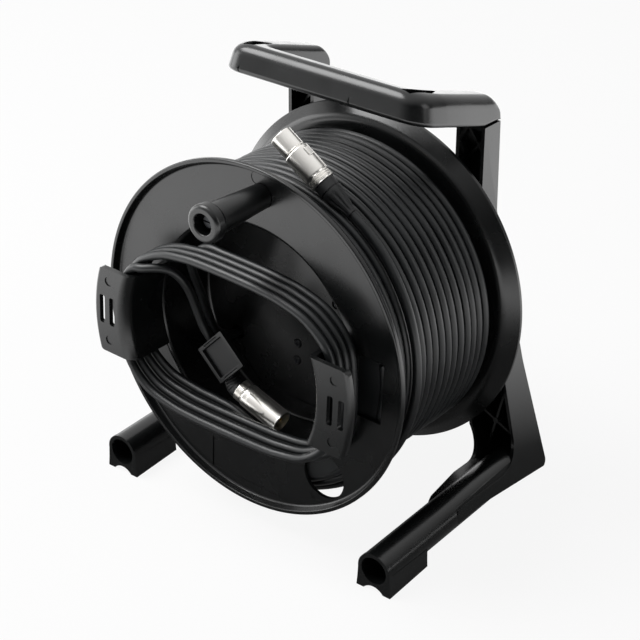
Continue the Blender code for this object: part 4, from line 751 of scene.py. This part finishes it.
# %% Cleats
CLEAT_RADIUS = 0.124
CLEAT_DEPTH = 0.036
CLEAT_LIP = 0.0058
CLEAT_BENDS = {"left": (0.009, 0.0055), "right": (0.0045, 0.0020)}
for side, word in ((-1, "left"), (1, "right")):
    outer_bend, inner_bend = CLEAT_BENDS[word]
    cleat_profile = rounded(
        [
            (HUB_RADIUS, 0.0052),
            (HUB_RADIUS, -CLEAT_DEPTH, outer_bend),
            (CLEAT_RADIUS, -CLEAT_DEPTH, 0.0030),
            (CLEAT_RADIUS, -CLEAT_DEPTH + CLEAT_LIP, 0.0008),
            (CLEAT_RADIUS - 0.0026, -CLEAT_DEPTH + CLEAT_LIP, 0.0008),
            (CLEAT_RADIUS - 0.0036, -CLEAT_DEPTH + 0.004, 0.0006),
            (0.0950, -CLEAT_DEPTH + 0.004, inner_bend),
            (0.0950, 0.0052),
        ]
    )
    middle = 0 if side > 0 else 180
    first = 90 - middle - 30
    cleat = turned(f"cleat_plate_{word}", cleat_profile, DRUM @ AXLE, steps=72, start=first, sweep=60)
    outline = rounded(
        [
            (side * 0.0765, -0.036),
            (side * 0.1195, -0.036, 0.008),
            (side * 0.128, 0.0),
            (side * 0.1195, 0.036, 0.008),
            (side * 0.0765, 0.036),
        ]
    )
    combine(cleat, plate("trim", outline, -0.08, 0.02, "front", DRUM), "INTERSECT")
    for reach in (0.1055, 0.1155):
        near, far = side * reach - 0.0026, side * reach + 0.0026
        slot_outline = rectangle((near, -0.012), (far, 0.012), 0.0018, step=15)
        cut(cleat, slot_outline, -0.05, -0.028, "front", DRUM)
    for z in (-0.0254, 0.0254):
        mark = np.array((side * 0.1085, -CLEAT_DEPTH + 0.0008, z))
        drill(cleat, 0.0038, mark - through, mark, DRUM, 40)
    soften(cleat, 0.0006, 2, 40)
    dress(cleat, "drum", "drum_plastic", (f"cleat_{word}",))

# %% [markdown]
# ## The crank knob
# The knob is a sleeve that turns on a pin. It swells slightly towards its end, flares into a rounded ring,
# and has a deep recess there for the screw that keeps it on.

# %% Crank knob
KNOB_SPACE = DRUM @ shift(pin_place) @ AXLE
KNOB_BASE, KNOB_END = 0.0052, -0.0580
knob_profile = rounded(
    [
        (0.0048, KNOB_BASE),
        (0.0097, KNOB_BASE, 0.0006),
        (0.0103, -0.0100, 0.02),
        (0.0118, -0.0380, 0.02),
        (0.0119, -0.0462, 0.0012),
        (0.0145, -0.0492, 0.0020),
        (0.0145, KNOB_END, 0.0032),
        (0.0078, KNOB_END, 0.0012),
        (0.0078, KNOB_END + 0.0105, 0.0006),
        (0.0048, KNOB_END + 0.0105),
    ],
    step=9,
)
knob = turned("knob_sleeve", knob_profile, KNOB_SPACE, steps=96)
dress(knob, "knob", "grip_plastic", ("crank_knob",))

# %% [markdown]
# ## The plugs
# Both plugs have a nickel shell and a black boot. A shell is a turned surface with fine rings at its rear
# and, on the male one, a raised tongue: the radius grows by a quarter of a millimetre inside an arch, so
# the same formula that makes the shell draws the tongue. The boots have shallow flutes along them.

# %% Helpers for the plugs
BOOT_TIP, BOOT_BASE = 0.0043, 0.0084
FLUTE_COUNT, FLUTE_DEPTH = 8, 0.0007


def plug_space(back, front):
    """Z runs from a plug's back to its front, and X faces away from the axle."""
    middle = (back + front) / 2
    return DRUM @ aim(back, front - back, (middle[0], 0, middle[2]))


def rings(start, end, radius, count, depth=0.0005):
    """A row of fine grooves: the radius steps in and out count times between two heights."""
    edges = np.linspace(start, end, 4 * count + 1)
    steps = np.tile((radius, radius, radius - depth, radius - depth), count)
    return [(float(r), float(h)) for r, h in zip(steps, edges)]


# %% Female plug
female_space = plug_space(FEMALE_BACK, FEMALE_NOSE)
BOOT = 0.030
NOSE = 0.077
GROOVE = NOSE - 0.0155 - 0.0014
female_profile = [
    (0.0072, BOOT + GAP),
    (0.0090, BOOT + GAP),
    (0.0095, BOOT + 0.0010),
    *rings(BOOT + 0.0013, BOOT + 0.0067, 0.0096, 3, 0.0006),
    (0.0096, BOOT + 0.0070),
    (0.0101, BOOT + 0.0085),
    (0.0101, GROOVE - 0.0008),
    (0.0097, GROOVE - 0.0002),
    (0.0093, GROOVE),
    (0.0082, GROOVE),
    (0.0082, GROOVE + 0.0014),
    (0.0084, GROOVE + 0.0014),
    (0.0088, GROOVE + 0.0019),
    (0.0088, NOSE - 0.0008),
    (0.0085, NOSE - 0.0002),
    (0.0080, NOSE),
    (0.0073, NOSE),
]
female_shell = turned("female_plug_shell", female_profile, female_space, steps=96)
LATCH_BACK, LATCH_FRONT = GROOVE - 0.0100, GROOVE - 0.0030
latch_slot = rectangle((LATCH_BACK - GAP, -0.0028), (LATCH_FRONT + GAP, 0.0028), 0.001)
# The slot is drawn lengthwise and across, then turned so that its depth is the plug's outward direction.
lengthwise = female_space @ rotation("Y", -math.pi / 2)
cut(female_shell, latch_slot, -0.02, -0.004, "top", lengthwise)
dress(female_shell, "drum", "plug_nickel", ("female_shell",))
latch = box("latch_button", (0.0086, -0.0025, LATCH_BACK), (0.0108, 0.0025, LATCH_FRONT), female_space)
soften(latch, 0.0006, 3, 40)
dress(latch, "latch", "plug_nickel", ("female_latch",))


# %% Female boot


def boot_flutes(angle, _, height):
    """Eight shallow hollows along a boot, deepest halfway up it."""
    rising, falling = ease(height / 0.006), ease((0.021 - height) / 0.006)
    return -FLUTE_DEPTH * np.maximum(0, np.cos(FLUTE_COUNT * angle)) * rising * falling


heights = np.linspace(0.0, 0.0205, 24)
boot_profile = [(0, 0), *zip(BOOT_TIP + (BOOT_BASE - BOOT_TIP) * ease(heights / 0.021), heights)]
boot_profile += [(BOOT_BASE, 0.0218), (0.0078, 0.0221), (0.0078, 0.0229), (BOOT_BASE, 0.0232)]
boot_profile += [(BOOT_BASE, 0.0292), (0.0078, BOOT), (0, BOOT)]
female_boot = turned("female_plug_boot", boot_profile, female_space, steps=128, swell=boot_flutes)
dress(female_boot, "drum", "boot_rubber", ("female_boot",))

# %% Male plug
male_space = plug_space(MALE_BACK, MALE_FRONT)
MALE_LENGTH = float(np.linalg.norm(MALE_FRONT - MALE_BACK))
TONGUE_TURN = math.radians(245)
TONGUE_START, TONGUE_REACH, TONGUE_HALF_ANGLE, TONGUE_HEIGHT = 0.012, 0.019, 0.62, 0.00025


def tongue(angle, _, height):
    """Raises the shell inside an arch that faces one way and is widest at its rear."""
    along = np.clip((height - TONGUE_START) / TONGUE_REACH, 0, 1)
    half_width = TONGUE_HALF_ANGLE * np.sqrt(np.clip(1 - along**2, 0, 1))
    facing = np.abs(np.angle(np.exp(1j * (angle - TONGUE_TURN))))
    inside = (height > TONGUE_START) & (height < TONGUE_START + TONGUE_REACH)
    return np.where(inside, TONGUE_HEIGHT * ease((half_width - facing) / 0.16), 0)


socket = MALE_LENGTH - 0.0155
male_body = np.linspace(0.0085, MALE_LENGTH - 0.0010, 60)
male_profile = [
    (0.0078, GAP),
    (0.0084, GAP),
    (0.0088, 0.0007),
    *rings(0.0010, 0.0068, 0.0089, 5),
    (0.0092, 0.0074),
    *[(0.0095, float(height)) for height in male_body],
    (0.0096, MALE_LENGTH - 0.0006),
    (0.0094, MALE_LENGTH),
    (0.0086, MALE_LENGTH),
    (0.0086, socket),
    (0.0078, socket),
]
male_shell = turned("male_plug_shell", male_profile, male_space, steps=160, swell=tongue)
dress(male_shell, "drum", "plug_nickel", ("male_shell",))

# %% Male boot
male_along = (MALE_FRONT - MALE_BACK) / MALE_LENGTH
boot_path = smooth_path([*BOOT_ROUTE, MALE_BACK - male_along * 0.0035, MALE_BACK], 0.0006)
share = np.linspace(0, 1, len(boot_path))
boot_radius = BOOT_TIP + (BOOT_BASE - BOOT_TIP) * ease(share)
boot_radius = boot_radius - 0.0004 * (np.sin(share * 2 * math.pi * 9) > 0.2) * (share > 0.25) * (share < 0.9)
male_boot = tube("male_plug_boot", boot_path, boot_radius, DRUM, sides=48)
dress(male_boot, "drum", "boot_rubber", ("male_boot",))

# %% [markdown]
# ## The label tag
# A flat frame of black plastic is clipped to the lead beside the male plug. It holds a sheet of dark film
# behind a raised border, and a slit at each end lets the film slide in. It carries no text.

# %% Tag
tag_space = DRUM @ shift((-0.0276, 0.0004, -0.0250)) @ rotation("Y", math.radians(42))
TAG_ACROSS, TAG_UP = 0.0160, 0.0166


def tag_outline(inset, radius):
    x, z = TAG_ACROSS - inset, TAG_UP - inset
    return rectangle((-x, -z), (x, z), radius)


tag = plate("tag_frame", tag_outline(0, 0.0012), 0, 0.0042, "front", tag_space)
cut(tag, tag_outline(0.0034, 0.0006), -0.01, 0.0034, "front", tag_space)
for end in (-0.0143, 0.0143):
    slit = rectangle((end - 0.0005, -0.009), (end + 0.0005, 0.009))
    cut(tag, slit, -0.01, 0.0008, "front", tag_space)
soften(tag, 0.0004, 2, 40)
dress(tag, "drum", "grip_plastic", ("label_tag",))
film = plate("tag_film", tag_outline(0.0036, 0.0004), 0.0028, 0.0033, "front", tag_space)
dress(film, "drum", "boot_rubber")

# %% [markdown]
# ## Pieces on the cords
# The pieces on each free end of the lead, the plugs with their boots and the tag, are gathered into two
# lists.

nodes = frame["nodes"]
male_pieces = [male_boot, male_shell, tag, film, nodes["male_insert"]]
male_pieces += [nodes[f"male_pin_{n}"] for n in (1, 2, 3)]
female_pieces = [female_boot, female_shell, latch, nodes["female_insert"]]
female_pieces += [nodes[f"female_contact_{n}"] for n in (1, 2, 3)]

# %% [markdown]
# ## The side frames
# Each side of the carrying frame is one moulding: an upright, a leg that splays outwards, and the back of
# the foot tube. It is a channel that is open to the front. Its side view is carried across between two
# walls, and the walls splay with height: a point's X depends only on its Z and on which wall it lies in.

# %% Walls of a side frame
SPLAY_START, HEEL_START, FRAME_TOP = 0.071, -0.112, 0.1458
OUTER_X, OUTER_SPLAY = 0.0941, 0.2285
INNER_X, INNER_SPLAY, HEEL_SPLAY = 0.0685, 0.1335, 0.55
KNEE = (0.1912, -0.054)
FOOT_X, FOOT_FRONT, TUBE_RADIUS, BORE_RADIUS = 0.1284, -0.008, 0.0143, 0.0113
FOOT_HEIGHT, FOOT_CLIMB = -0.1449, 0.05
TUBE_SPLIT = 0.0802


def outer_wall(z):
    return OUTER_X + OUTER_SPLAY * np.maximum(0, SPLAY_START - z)


def inner_wall(z):
    heel = HEEL_SPLAY * np.maximum(0, HEEL_START - z)
    return INNER_X + INNER_SPLAY * np.maximum(0, SPLAY_START - z) + heel


def between_walls(name, outline, inset, side):
    """A side view with its left half on the inner wall and its right half on the outer one."""
    made = plate(name, outline, -1, 1, "side", np.eye(4))
    bm = bmesh.new()
    bm.from_mesh(made.data)
    for level in (SPLAY_START, HEEL_START):
        geometry = [*bm.verts, *bm.edges, *bm.faces]
        bmesh.ops.bisect_plane(bm, geom=geometry, plane_co=(0, 0, level), plane_no=(0, 0, 1))
    bm.to_mesh(made.data)
    bm.free()
    points = np.empty(len(made.data.vertices) * 3)
    made.data.vertices.foreach_get("co", points)
    points = points.reshape(-1, 3)
    wall = np.where(points[:, 0] > 0, outer_wall(points[:, 2]) - inset, inner_wall(points[:, 2]) + inset)
    points[:, 0] = side * wall
    faces = [list(face.vertices) for face in made.data.polygons]
    bpy.data.objects.remove(made)
    return mesh_object(name, points, faces, REEL)


def foot_point(side, y):
    """A place on the axis of a foot's tube, which climbs a little towards the back."""
    return np.array((side * FOOT_X, y, FOOT_HEIGHT + FOOT_CLIMB * (y - FOOT_FRONT)))


def ground_block():
    return box("ground_cut", (-0.3, -0.4, -0.1), (0.3, 0.4, 0.0), np.eye(4))


def across_channel(from_z, to_z):
    """A rib's two ends in the front view: inside the inner wall at one height, and the outer at another."""
    return np.array([(inner_wall(from_z) + 0.0015, from_z), (outer_wall(to_z) - 0.0015, to_z)])


def rib(side, ends, back):
    along = (ends[1] - ends[0]) / np.linalg.norm(ends[1] - ends[0])
    across = np.array((-along[1], along[0])) * 0.001
    corners = np.array([ends[0] + across, ends[1] + across, ends[1] - across, ends[0] - across])
    return plate("rib", corners * (side, 1), 0.172, back, "front", REEL)


# %% Side frames
LEG_RIBS = (across_channel(-0.131, -0.062), across_channel(-0.0937, -0.1145))
UPRIGHT_RIBS = (across_channel(0.110, 0.140), across_channel(0.140, 0.110))
first_rib, second_rib = LEG_RIBS[0][1] - LEG_RIBS[0][0], LEG_RIBS[1][1] - LEG_RIBS[1][0]
shares = np.linalg.solve(np.stack([first_rib, -second_rib], axis=1), LEG_RIBS[1][0] - LEG_RIBS[0][0])
crossing = LEG_RIBS[0][0] + shares[0] * first_rib
for side, word in ((-1, "left"), (1, "right")):
    outline = rounded(
        [
            (0.160, FRAME_TOP),
            (0.1655, -0.1325, 0.022),
            (0.0810, -0.1325, 0.0065),
            (0.0810, -0.1469, 0.0065),
            (0.205, -0.1493, 0.006),
            (*KNEE, 0.1),
            (0.1837, SPLAY_START, 0.1),
            (0.1805, FRAME_TOP),
        ],
        step=4,
    )
    side_piece = between_walls(f"side_moulding_{word}", outline, 0, side)
    channel = rounded(
        [
            (0.130, FRAME_TOP - 0.003),
            (0.1775, FRAME_TOP - 0.003, 0.002),
            (0.1807, SPLAY_START, 0.1),
            (KNEE[0] - 0.003, KNEE[1], 0.1),
            (0.1994, -0.131, 0.004),
            (0.130, -0.131),
        ],
        step=4,
    )
    combine(side_piece, between_walls("channel", channel, 0.003, side), "DIFFERENCE")
    for ends, back in zip((*LEG_RIBS, *UPRIGHT_RIBS), (0.1915, 0.1935, 0.1805, 0.1805)):
        combine(side_piece, rib(side, ends, back), "UNION")
    boss_ends = ((side * crossing[0], 0.1715, crossing[1]), (side * crossing[0], 0.193, crossing[1]))
    combine(side_piece, rod("boss", 0.0026, *boss_ends, REEL, 24), "UNION")
    taper = [(0.0832, 0.073), (0.1132, 0.073), (0.1132, 0.083), (0.1065, 0.128), (0.0832, 0.128)]
    cut(side_piece, np.array(taper) * (side, 1), -0.1593, -0.121, "top", REEL)
    below = [(0.07, -0.17), (0.07, -0.1385), (0.204, -0.1489), (0.204, -0.17)]
    cut(side_piece, below, -0.2, 0.2, "side", REEL)
    soften(side_piece, 0.0008, 2, 40)
    leg_tube = rod("tube", TUBE_RADIUS, foot_point(side, TUBE_SPLIT), foot_point(side, 0.198), REEL, 96)
    flank = [(0.1, -0.2), (outer_wall(-0.2) - 0.0008, -0.2), (outer_wall(-0.1) - 0.0008, -0.1), (0.1, -0.1)]
    combine(leg_tube, plate("flank", np.array(flank) * (side, 1), 0.0, 0.3, "front", REEL), "INTERSECT")
    combine(side_piece, leg_tube, "UNION")
    drill(side_piece, BORE_RADIUS, foot_point(side, 0.0), foot_point(side, 0.150), REEL, 80)
    combine(side_piece, ground_block(), "DIFFERENCE")
    dress(side_piece, "frame", "frame_plastic", (f"side_frame_{word}",))

# %% [markdown]
# ## The feet
# A foot tube slides over the end of each leg's tube. A pad under its front end has two soles with an arch
# between them, and its sides lean outwards a little towards the ground.

# %% Foot tubes
for side, word in ((-1, "left"), (1, "right")):
    centre = side * FOOT_X
    start, end = foot_point(side, FOOT_FRONT), foot_point(side, 0.082)
    length = float(np.linalg.norm(end - start))
    collar = TUBE_RADIUS + GAP
    skin = [(0, 0), (collar, 0), (collar, 0.003), (TUBE_RADIUS, 0.0036), (TUBE_RADIUS, length), (0, length)]
    foot = turned(f"foot_moulding_{word}", skin, REEL @ aim(start, end - start), steps=96)
    pad = rounded(
        [
            (centre - 0.0146, FOOT_HEIGHT),
            (centre - 0.0150, -0.1549, 0.03),
            (centre - 0.0172, -0.1825),
            (centre + 0.0172, -0.1825),
            (centre + 0.0150, -0.1549, 0.03),
            (centre + 0.0146, FOOT_HEIGHT),
        ]
    )
    combine(foot, plate("pad", pad, -0.0078, 0.040, "front", REEL), "UNION")
    arch_radius = 0.0115
    arch = -0.1629 + 0.0036 - arch_radius
    arch_ends = [(centre, y, arch + math.tan(LEAN) * (y - FOOT_FRONT)) for y in (-0.03, 0.06)]
    drill(foot, arch_radius, *arch_ends, REEL, 96)
    drill(foot, BORE_RADIUS, foot_point(side, -0.03), foot_point(side, 0.10), REEL, 80)
    combine(foot, ground_block(), "DIFFERENCE")
    soften(foot, 0.0006, 2, 40)
    combine(foot, box("cut", (-0.2, 0.0801, -0.2), (0.2, 0.3, 0.2), REEL), "DIFFERENCE")
    dress(foot, "frame", "frame_plastic", (f"foot_tube_{word}",))

# %% [markdown]
# ## The handle
# The handle is a U that lies on top of the two uprights and rises towards the grip. Its cross-section is a
# rounded block whose outer face leans in towards the top, most of all along the grip. The section is carried
# round the U between two outlines, an outer one and an inner one, so each keeps its own corner radius.

# %% Handle outlines
GRIP_FRONT, GRIP_BACK, ARM_END = 0.075, 0.100, 0.1805
OUTER_CORNER, INNER_CORNER = 0.018, 0.012
SECTION_WIDTH, SECTION_HEIGHT = 0.0255, 0.024
GRIP_LEAN, ARM_LEAN = 0.0055, 0.0010
TOP_AT_GRIP, TOP_FALL = 0.1960, 0.2967
BOTTOM_AT_GRIP, BOTTOM_FALL = 0.1718, 0.3024
ROUND_START, BACK_RADIUS, BACK_CENTRE = 0.1698, 0.015, (0.1655, 0.1535)


def handle_top(y):
    """A straight slope down to the back, where a circle takes over."""
    slope = TOP_AT_GRIP - (y - GRIP_FRONT) * TOP_FALL
    circle = np.sqrt(np.maximum(BACK_RADIUS**2 - (y - BACK_CENTRE[0]) ** 2, 0))
    return np.where(y > ROUND_START, BACK_CENTRE[1] + circle, slope)


def handle_bottom(y):
    return np.maximum(BOTTOM_AT_GRIP - (y - GRIP_FRONT) * BOTTOM_FALL, FRAME_TOP + GAP)


def half_outlines():
    """Matched points of the outer and the inner outline, from the right arm's end to the grip's middle."""
    rounded_end = ARM_END - 0.0107 * (1 - np.cos(np.linspace(0, math.pi / 2, 8)))
    arm = np.concatenate([rounded_end, [0.160, 0.140, 0.126]])
    outer_arm = np.stack([np.full(len(arm), OUTER_X), arm], axis=1)
    inner_arm = np.stack([np.full(len(arm), INNER_X), arm], axis=1)
    turn = np.linspace(0, math.pi / 2, 25)
    outer_turn = np.stack([np.cos(turn), -np.sin(turn)], axis=1) * OUTER_CORNER
    outer_turn = outer_turn + (OUTER_X - OUTER_CORNER, GRIP_FRONT + OUTER_CORNER)
    inner_turn = np.stack([np.cos(turn), -np.sin(turn)], axis=1) * INNER_CORNER
    inner_turn = inner_turn + (INNER_X - INNER_CORNER, GRIP_BACK + INNER_CORNER)
    lead_in = GRIP_BACK + INNER_CORNER
    corner = np.vstack([[(OUTER_X, lead_in)], outer_turn, [(INNER_X - INNER_CORNER, GRIP_FRONT)]])
    outer_corner = even_path(np.hstack([corner, np.zeros((len(corner), 1))]), 0.0028)[:, :2]
    share = np.linspace(0, 24, len(outer_corner))
    inner_corner = [np.interp(share, np.arange(25), inner_turn[:, axis]) for axis in (0, 1)]
    outer = np.vstack([outer_arm, outer_corner, [(0.028, GRIP_FRONT), (0.0, GRIP_FRONT)]])
    inner = np.vstack([inner_arm, np.transpose(inner_corner), [(0.028, GRIP_BACK), (0.0, GRIP_BACK)]])
    return outer, inner


# %% Handle
right_outer, right_inner = half_outlines()
outer_line = np.vstack([right_outer, right_outer[-2::-1] * (-1, 1)])
inner_line = np.vstack([right_inner, right_inner[-2::-1] * (-1, 1)])
section = rounded(
    [
        (0, 0, 0.004),
        (SECTION_WIDTH, 0, 0.004),
        (SECTION_WIDTH, SECTION_HEIGHT, 0.006),
        (0, SECTION_HEIGHT, 0.010),
    ],
    step=9,
)
share_in, share_up = section[:, 0] / SECTION_WIDTH, section[:, 1] / SECTION_HEIGHT
grip_share = ease((0.125 - outer_line[:, 1]) / 0.045)
lean = (ARM_LEAN + (GRIP_LEAN - ARM_LEAN) * grip_share) / SECTION_WIDTH
share_in = share_in + lean[:, None] * share_up * (1 - share_in)
plan_points = outer_line[:, None] + (inner_line - outer_line)[:, None] * share_in[:, :, None]
bottom, top = handle_bottom(plan_points[:, :, 1]), handle_top(plan_points[:, :, 1])
handle_points = np.dstack([plan_points, bottom + (top - bottom) * share_up])
rows, columns = handle_points.shape[:2]
faces = grid_faces(rows, columns, False, True)
faces += [list(range(columns)), list(range((rows - 1) * columns, rows * columns))]
handle = mesh_object("handle_moulding", handle_points.reshape(-1, 3), faces, REEL)
POCKET_CORNERS = ((0.068, 0.0870), (0.0775, 0.0855), (0.0830, 0.105), (0.0755, 0.121))
for side in (-1, 1):
    pocket = rounded([(side * x, y, 0.0015) for x, y in POCKET_CORNERS])
    cut(handle, pocket, 0.178, 0.22, "top", REEL)
arc = np.radians(np.linspace(105, 255, 16))
for x, z in ((-0.0716, 0.175), (0.0325, 0.1765)):
    outside = np.array((x, z)) + 0.0032 * np.stack([np.cos(arc), np.sin(arc)], axis=1)
    crescent = np.vstack([outside, outside[::-1] + (0.0012, 0)])
    cut(handle, crescent, 0.07, 0.0772, "front", REEL)
soften(handle, 0.0006, 2, 50)
dress(handle, "frame", "frame_plastic", ("handle",))

# %% [markdown]
# ## The cross member and the brake
# Behind the drum a flat cross member joins the two side frames and carries the axle's bushes. A fluted
# knob on the end of the axle presses a disc against the rear bush, and so brakes the drum.

# %% Cross member
MEMBER_FRONT, MEMBER_BACK, MEMBER_HALF = 0.1765, 0.1815, 0.058
BOSS_FRONT, BOSS_RADIUS, HUB_BORE = 0.1565, 0.024, 0.0136
BOLT_HEIGHT, BOLT_DEPTH, BOLT_BORE, BLOCK_HALF = 0.042, 0.174, 0.0023, 0.007
top, bottom = float(inner_wall(MEMBER_HALF)) - GAP, float(inner_wall(-MEMBER_HALF)) - GAP
sheet = [(-top, MEMBER_HALF), (top, MEMBER_HALF), (bottom, -MEMBER_HALF), (-bottom, -MEMBER_HALF)]
member = plate("cross_member", sheet, MEMBER_FRONT, MEMBER_BACK, "front", REEL)
combine(member, rod("boss", BOSS_RADIUS, (0, BOSS_FRONT, 0), (0, MEMBER_BACK, 0), REEL, 96), "UNION")
for side in (-1, 1):
    for height in (BOLT_HEIGHT, -BOLT_HEIGHT):
        face = float(inner_wall(height + BLOCK_HALF)) - 2 * GAP
        near, far = sorted((side * (face - 0.018), side * face))
        low, high = height - BLOCK_HALF, height + BLOCK_HALF
        combine(member, box("block", (near, 0.167, low), (far, 0.1812, high), REEL), "UNION")
        bore = [(side * x, BOLT_DEPTH, height) for x in (face - 0.015, face + 0.01)]
        drill(member, BOLT_BORE, *bore, REEL, 24)
drill(member, HUB_BORE, (0, 0.14, 0), (0, 0.20, 0), REEL, 96)
soften(member, 0.0008, 2, 40)
dress(member, "frame", "frame_plastic", ("hub_plate",))

# %% Brake knob
BUSH_FLANGE, DISC_THICKNESS = 0.002, 0.0018
HOLLOW_COUNT, HOLLOW_DEPTH = 8, 0.0022
KNOB_FRONT = MEMBER_BACK + BUSH_FLANGE + DISC_THICKNESS + 3 * GAP
KNOB_SHOULDER, KNOB_BACK = KNOB_FRONT + 0.011, KNOB_FRONT + 0.014
brake_profile = rounded(
    [
        (0.0, KNOB_SHOULDER),
        (0.0103, KNOB_SHOULDER),
        (0.0103, KNOB_FRONT),
        (0.0195, KNOB_FRONT, 0.001),
        (0.0200, KNOB_SHOULDER, 0.002),
        (0.0165, KNOB_BACK, 0.002),
        (0.0, KNOB_BACK),
    ]
)


def grip_flutes(angle, radius, _):
    """Eight round hollows round the brake knob: only the outer skin moves in."""
    hollows = np.maximum(0, np.cos(HOLLOW_COUNT * angle)) ** 2
    return -HOLLOW_DEPTH * ease((radius - 0.0125) / 0.005) * hollows


brake = turned("brake_grip", brake_profile, DRUM @ AXLE, steps=128, swell=grip_flutes)
dress(brake, "brake", "grip_plastic", ("brake_knob",))

# %% [markdown]
# ## Floor, backdrop and light
# The reel stands on plain white, so the camera sees an evenly white floor and a white room. Black gloss
# shows more than that, so glossy rays see a painted reflection of both: a floor that glows bright at a
# distance, with a painted shadow close to the reel, and a room that glows brightest above and to the left.
# The light itself
# stays at a plain level: one wide soft lamp above and weaker ones at the sides.

# %% Floor
WHITE = (1, 1, 1, 1)
FLOOR_SIZE = 6.0
# Painted shadow: glossy rays see the floor's glow dim near this place under the reel and brighten with
# distance.
PAINTED_SHADOW_CENTRE = (0.10, -0.10, 0.0)
GLOW_SPAN, PAINTED_REFLECTION_LEVELS = (0.27, 0.62), (0.14, 2.4)
CAMERA_GLOW = 0.90


def sums(tree, operation, *terms):
    """A math node whose terms are outputs or plain numbers."""
    made = add_node(tree, "Math", operation=operation)
    for socket, term in zip(made.inputs, terms):
        if isinstance(term, float):
            socket.default_value = term
        else:
            tree.links.new(term, socket)
    return made.outputs[0]


def sort_rays(tree):
    """One output for the rays that the camera sends, one for those that gloss or glass sends on."""
    rays = add_node(tree, "LightPath").outputs
    return rays["Is Camera Ray"], sums(tree, "ADD", rays["Is Glossy Ray"], rays["Is Transmission Ray"])


floor = box("floor", (-FLOOR_SIZE, -FLOOR_SIZE, -0.02), (FLOOR_SIZE, FLOOR_SIZE, -0.0002), np.eye(4))
floor_finish = bpy.data.materials.new("pale_floor")
floor_finish.use_nodes = True
tree = floor_finish.node_tree
link = tree.links.new
shader = tree.nodes["Principled BSDF"]
shader.inputs["Base Color"].default_value = (0.86, 0.86, 0.86, 1)
shader.inputs["Roughness"].default_value = 0.9
glow = add_node(tree, "Emission", {"Color": WHITE})
mix = add_node(tree, "MixShader")
place = add_node(tree, "TexCoord")
away = add_node(tree, "VectorMath", {1: PAINTED_SHADOW_CENTRE}, "DISTANCE")
link(place.outputs["Object"], away.inputs[0])
camera_ray, shiny_ray = sort_rays(tree)
# Painted reflection: glossy rays see the floor glow by its distance from the painted shadow's centre.
painted_reflection = sums(tree, "MULTIPLY", shiny_ray, map_range(tree, away.outputs["Value"], GLOW_SPAN, PAINTED_REFLECTION_LEVELS))
link(sums(tree, "ADD", camera_ray, painted_reflection), glow.inputs["Strength"])
link(sums(tree, "MULTIPLY_ADD", camera_ray, CAMERA_GLOW, shiny_ray), mix.inputs[0])
link(shader.outputs[0], mix.inputs[1])
link(glow.outputs[0], mix.inputs[2])
link(mix.outputs[0], tree.nodes["Material Output"].inputs["Surface"])
floor.data.materials.append(floor_finish)

# %% World and lamps
# Painted reflection: glossy rays see the room glow brightest towards this side, while diffuse rays see only
# the plain level.
PAINTED_BRIGHT_SIDE = np.array((-0.62, 0.26, 0.74)) / np.linalg.norm((-0.62, 0.26, 0.74))
ROOM_SPAN, PAINTED_ROOM_LEVELS, PLAIN_LEVEL = (-0.25, 0.65), (0.04, 1.15), 0.15
world = bpy.data.worlds.new("studio")
bpy.context.scene.world = world
world.use_nodes = True
tree = world.node_tree
link = tree.links.new
sky = tree.nodes["Background"]
sky.inputs["Color"].default_value = WHITE
place = add_node(tree, "TexCoord")
facing = add_node(tree, "VectorMath", {1: PAINTED_BRIGHT_SIDE}, "DOT_PRODUCT")
link(place.outputs["Generated"], facing.inputs[0])
camera_ray, shiny_ray = sort_rays(tree)
level = add_node(tree, "Mix", {2: PLAIN_LEVEL})
final = add_node(tree, "Mix", {3: 1.0})
link(shiny_ray, level.inputs[0])
link(map_range(tree, facing.outputs["Value"], ROOM_SPAN, PAINTED_ROOM_LEVELS), level.inputs[3])
link(camera_ray, final.inputs[0])
link(level.outputs[0], final.inputs[2])
link(final.outputs[0], sky.inputs["Strength"])


def lamp(name, place, target, size, watts):
    """A square soft lamp that faces a target."""
    data = bpy.data.lights.new(name, "AREA")
    data.size = size
    data.energy = watts
    made = bpy.data.objects.new(name, data)
    bpy.context.scene.collection.objects.link(made)
    facing = aim(place, np.asarray(place, float) - np.asarray(target, float))
    made.matrix_world = Matrix(facing)
    return made


CENTRE = (0, 0, 0.17)
lamp("key", (-1.1, -0.5, 1.9), CENTRE, 1.2, 40)
lamp("side", (2.0, 0.6, 1.0), CENTRE, 1.0, 6)
lamp("left", (-1.7, -0.7, 0.5), CENTRE, 0.9, 8)
bpy.context.scene.view_settings.view_transform = "Standard"
print("Studio ready")
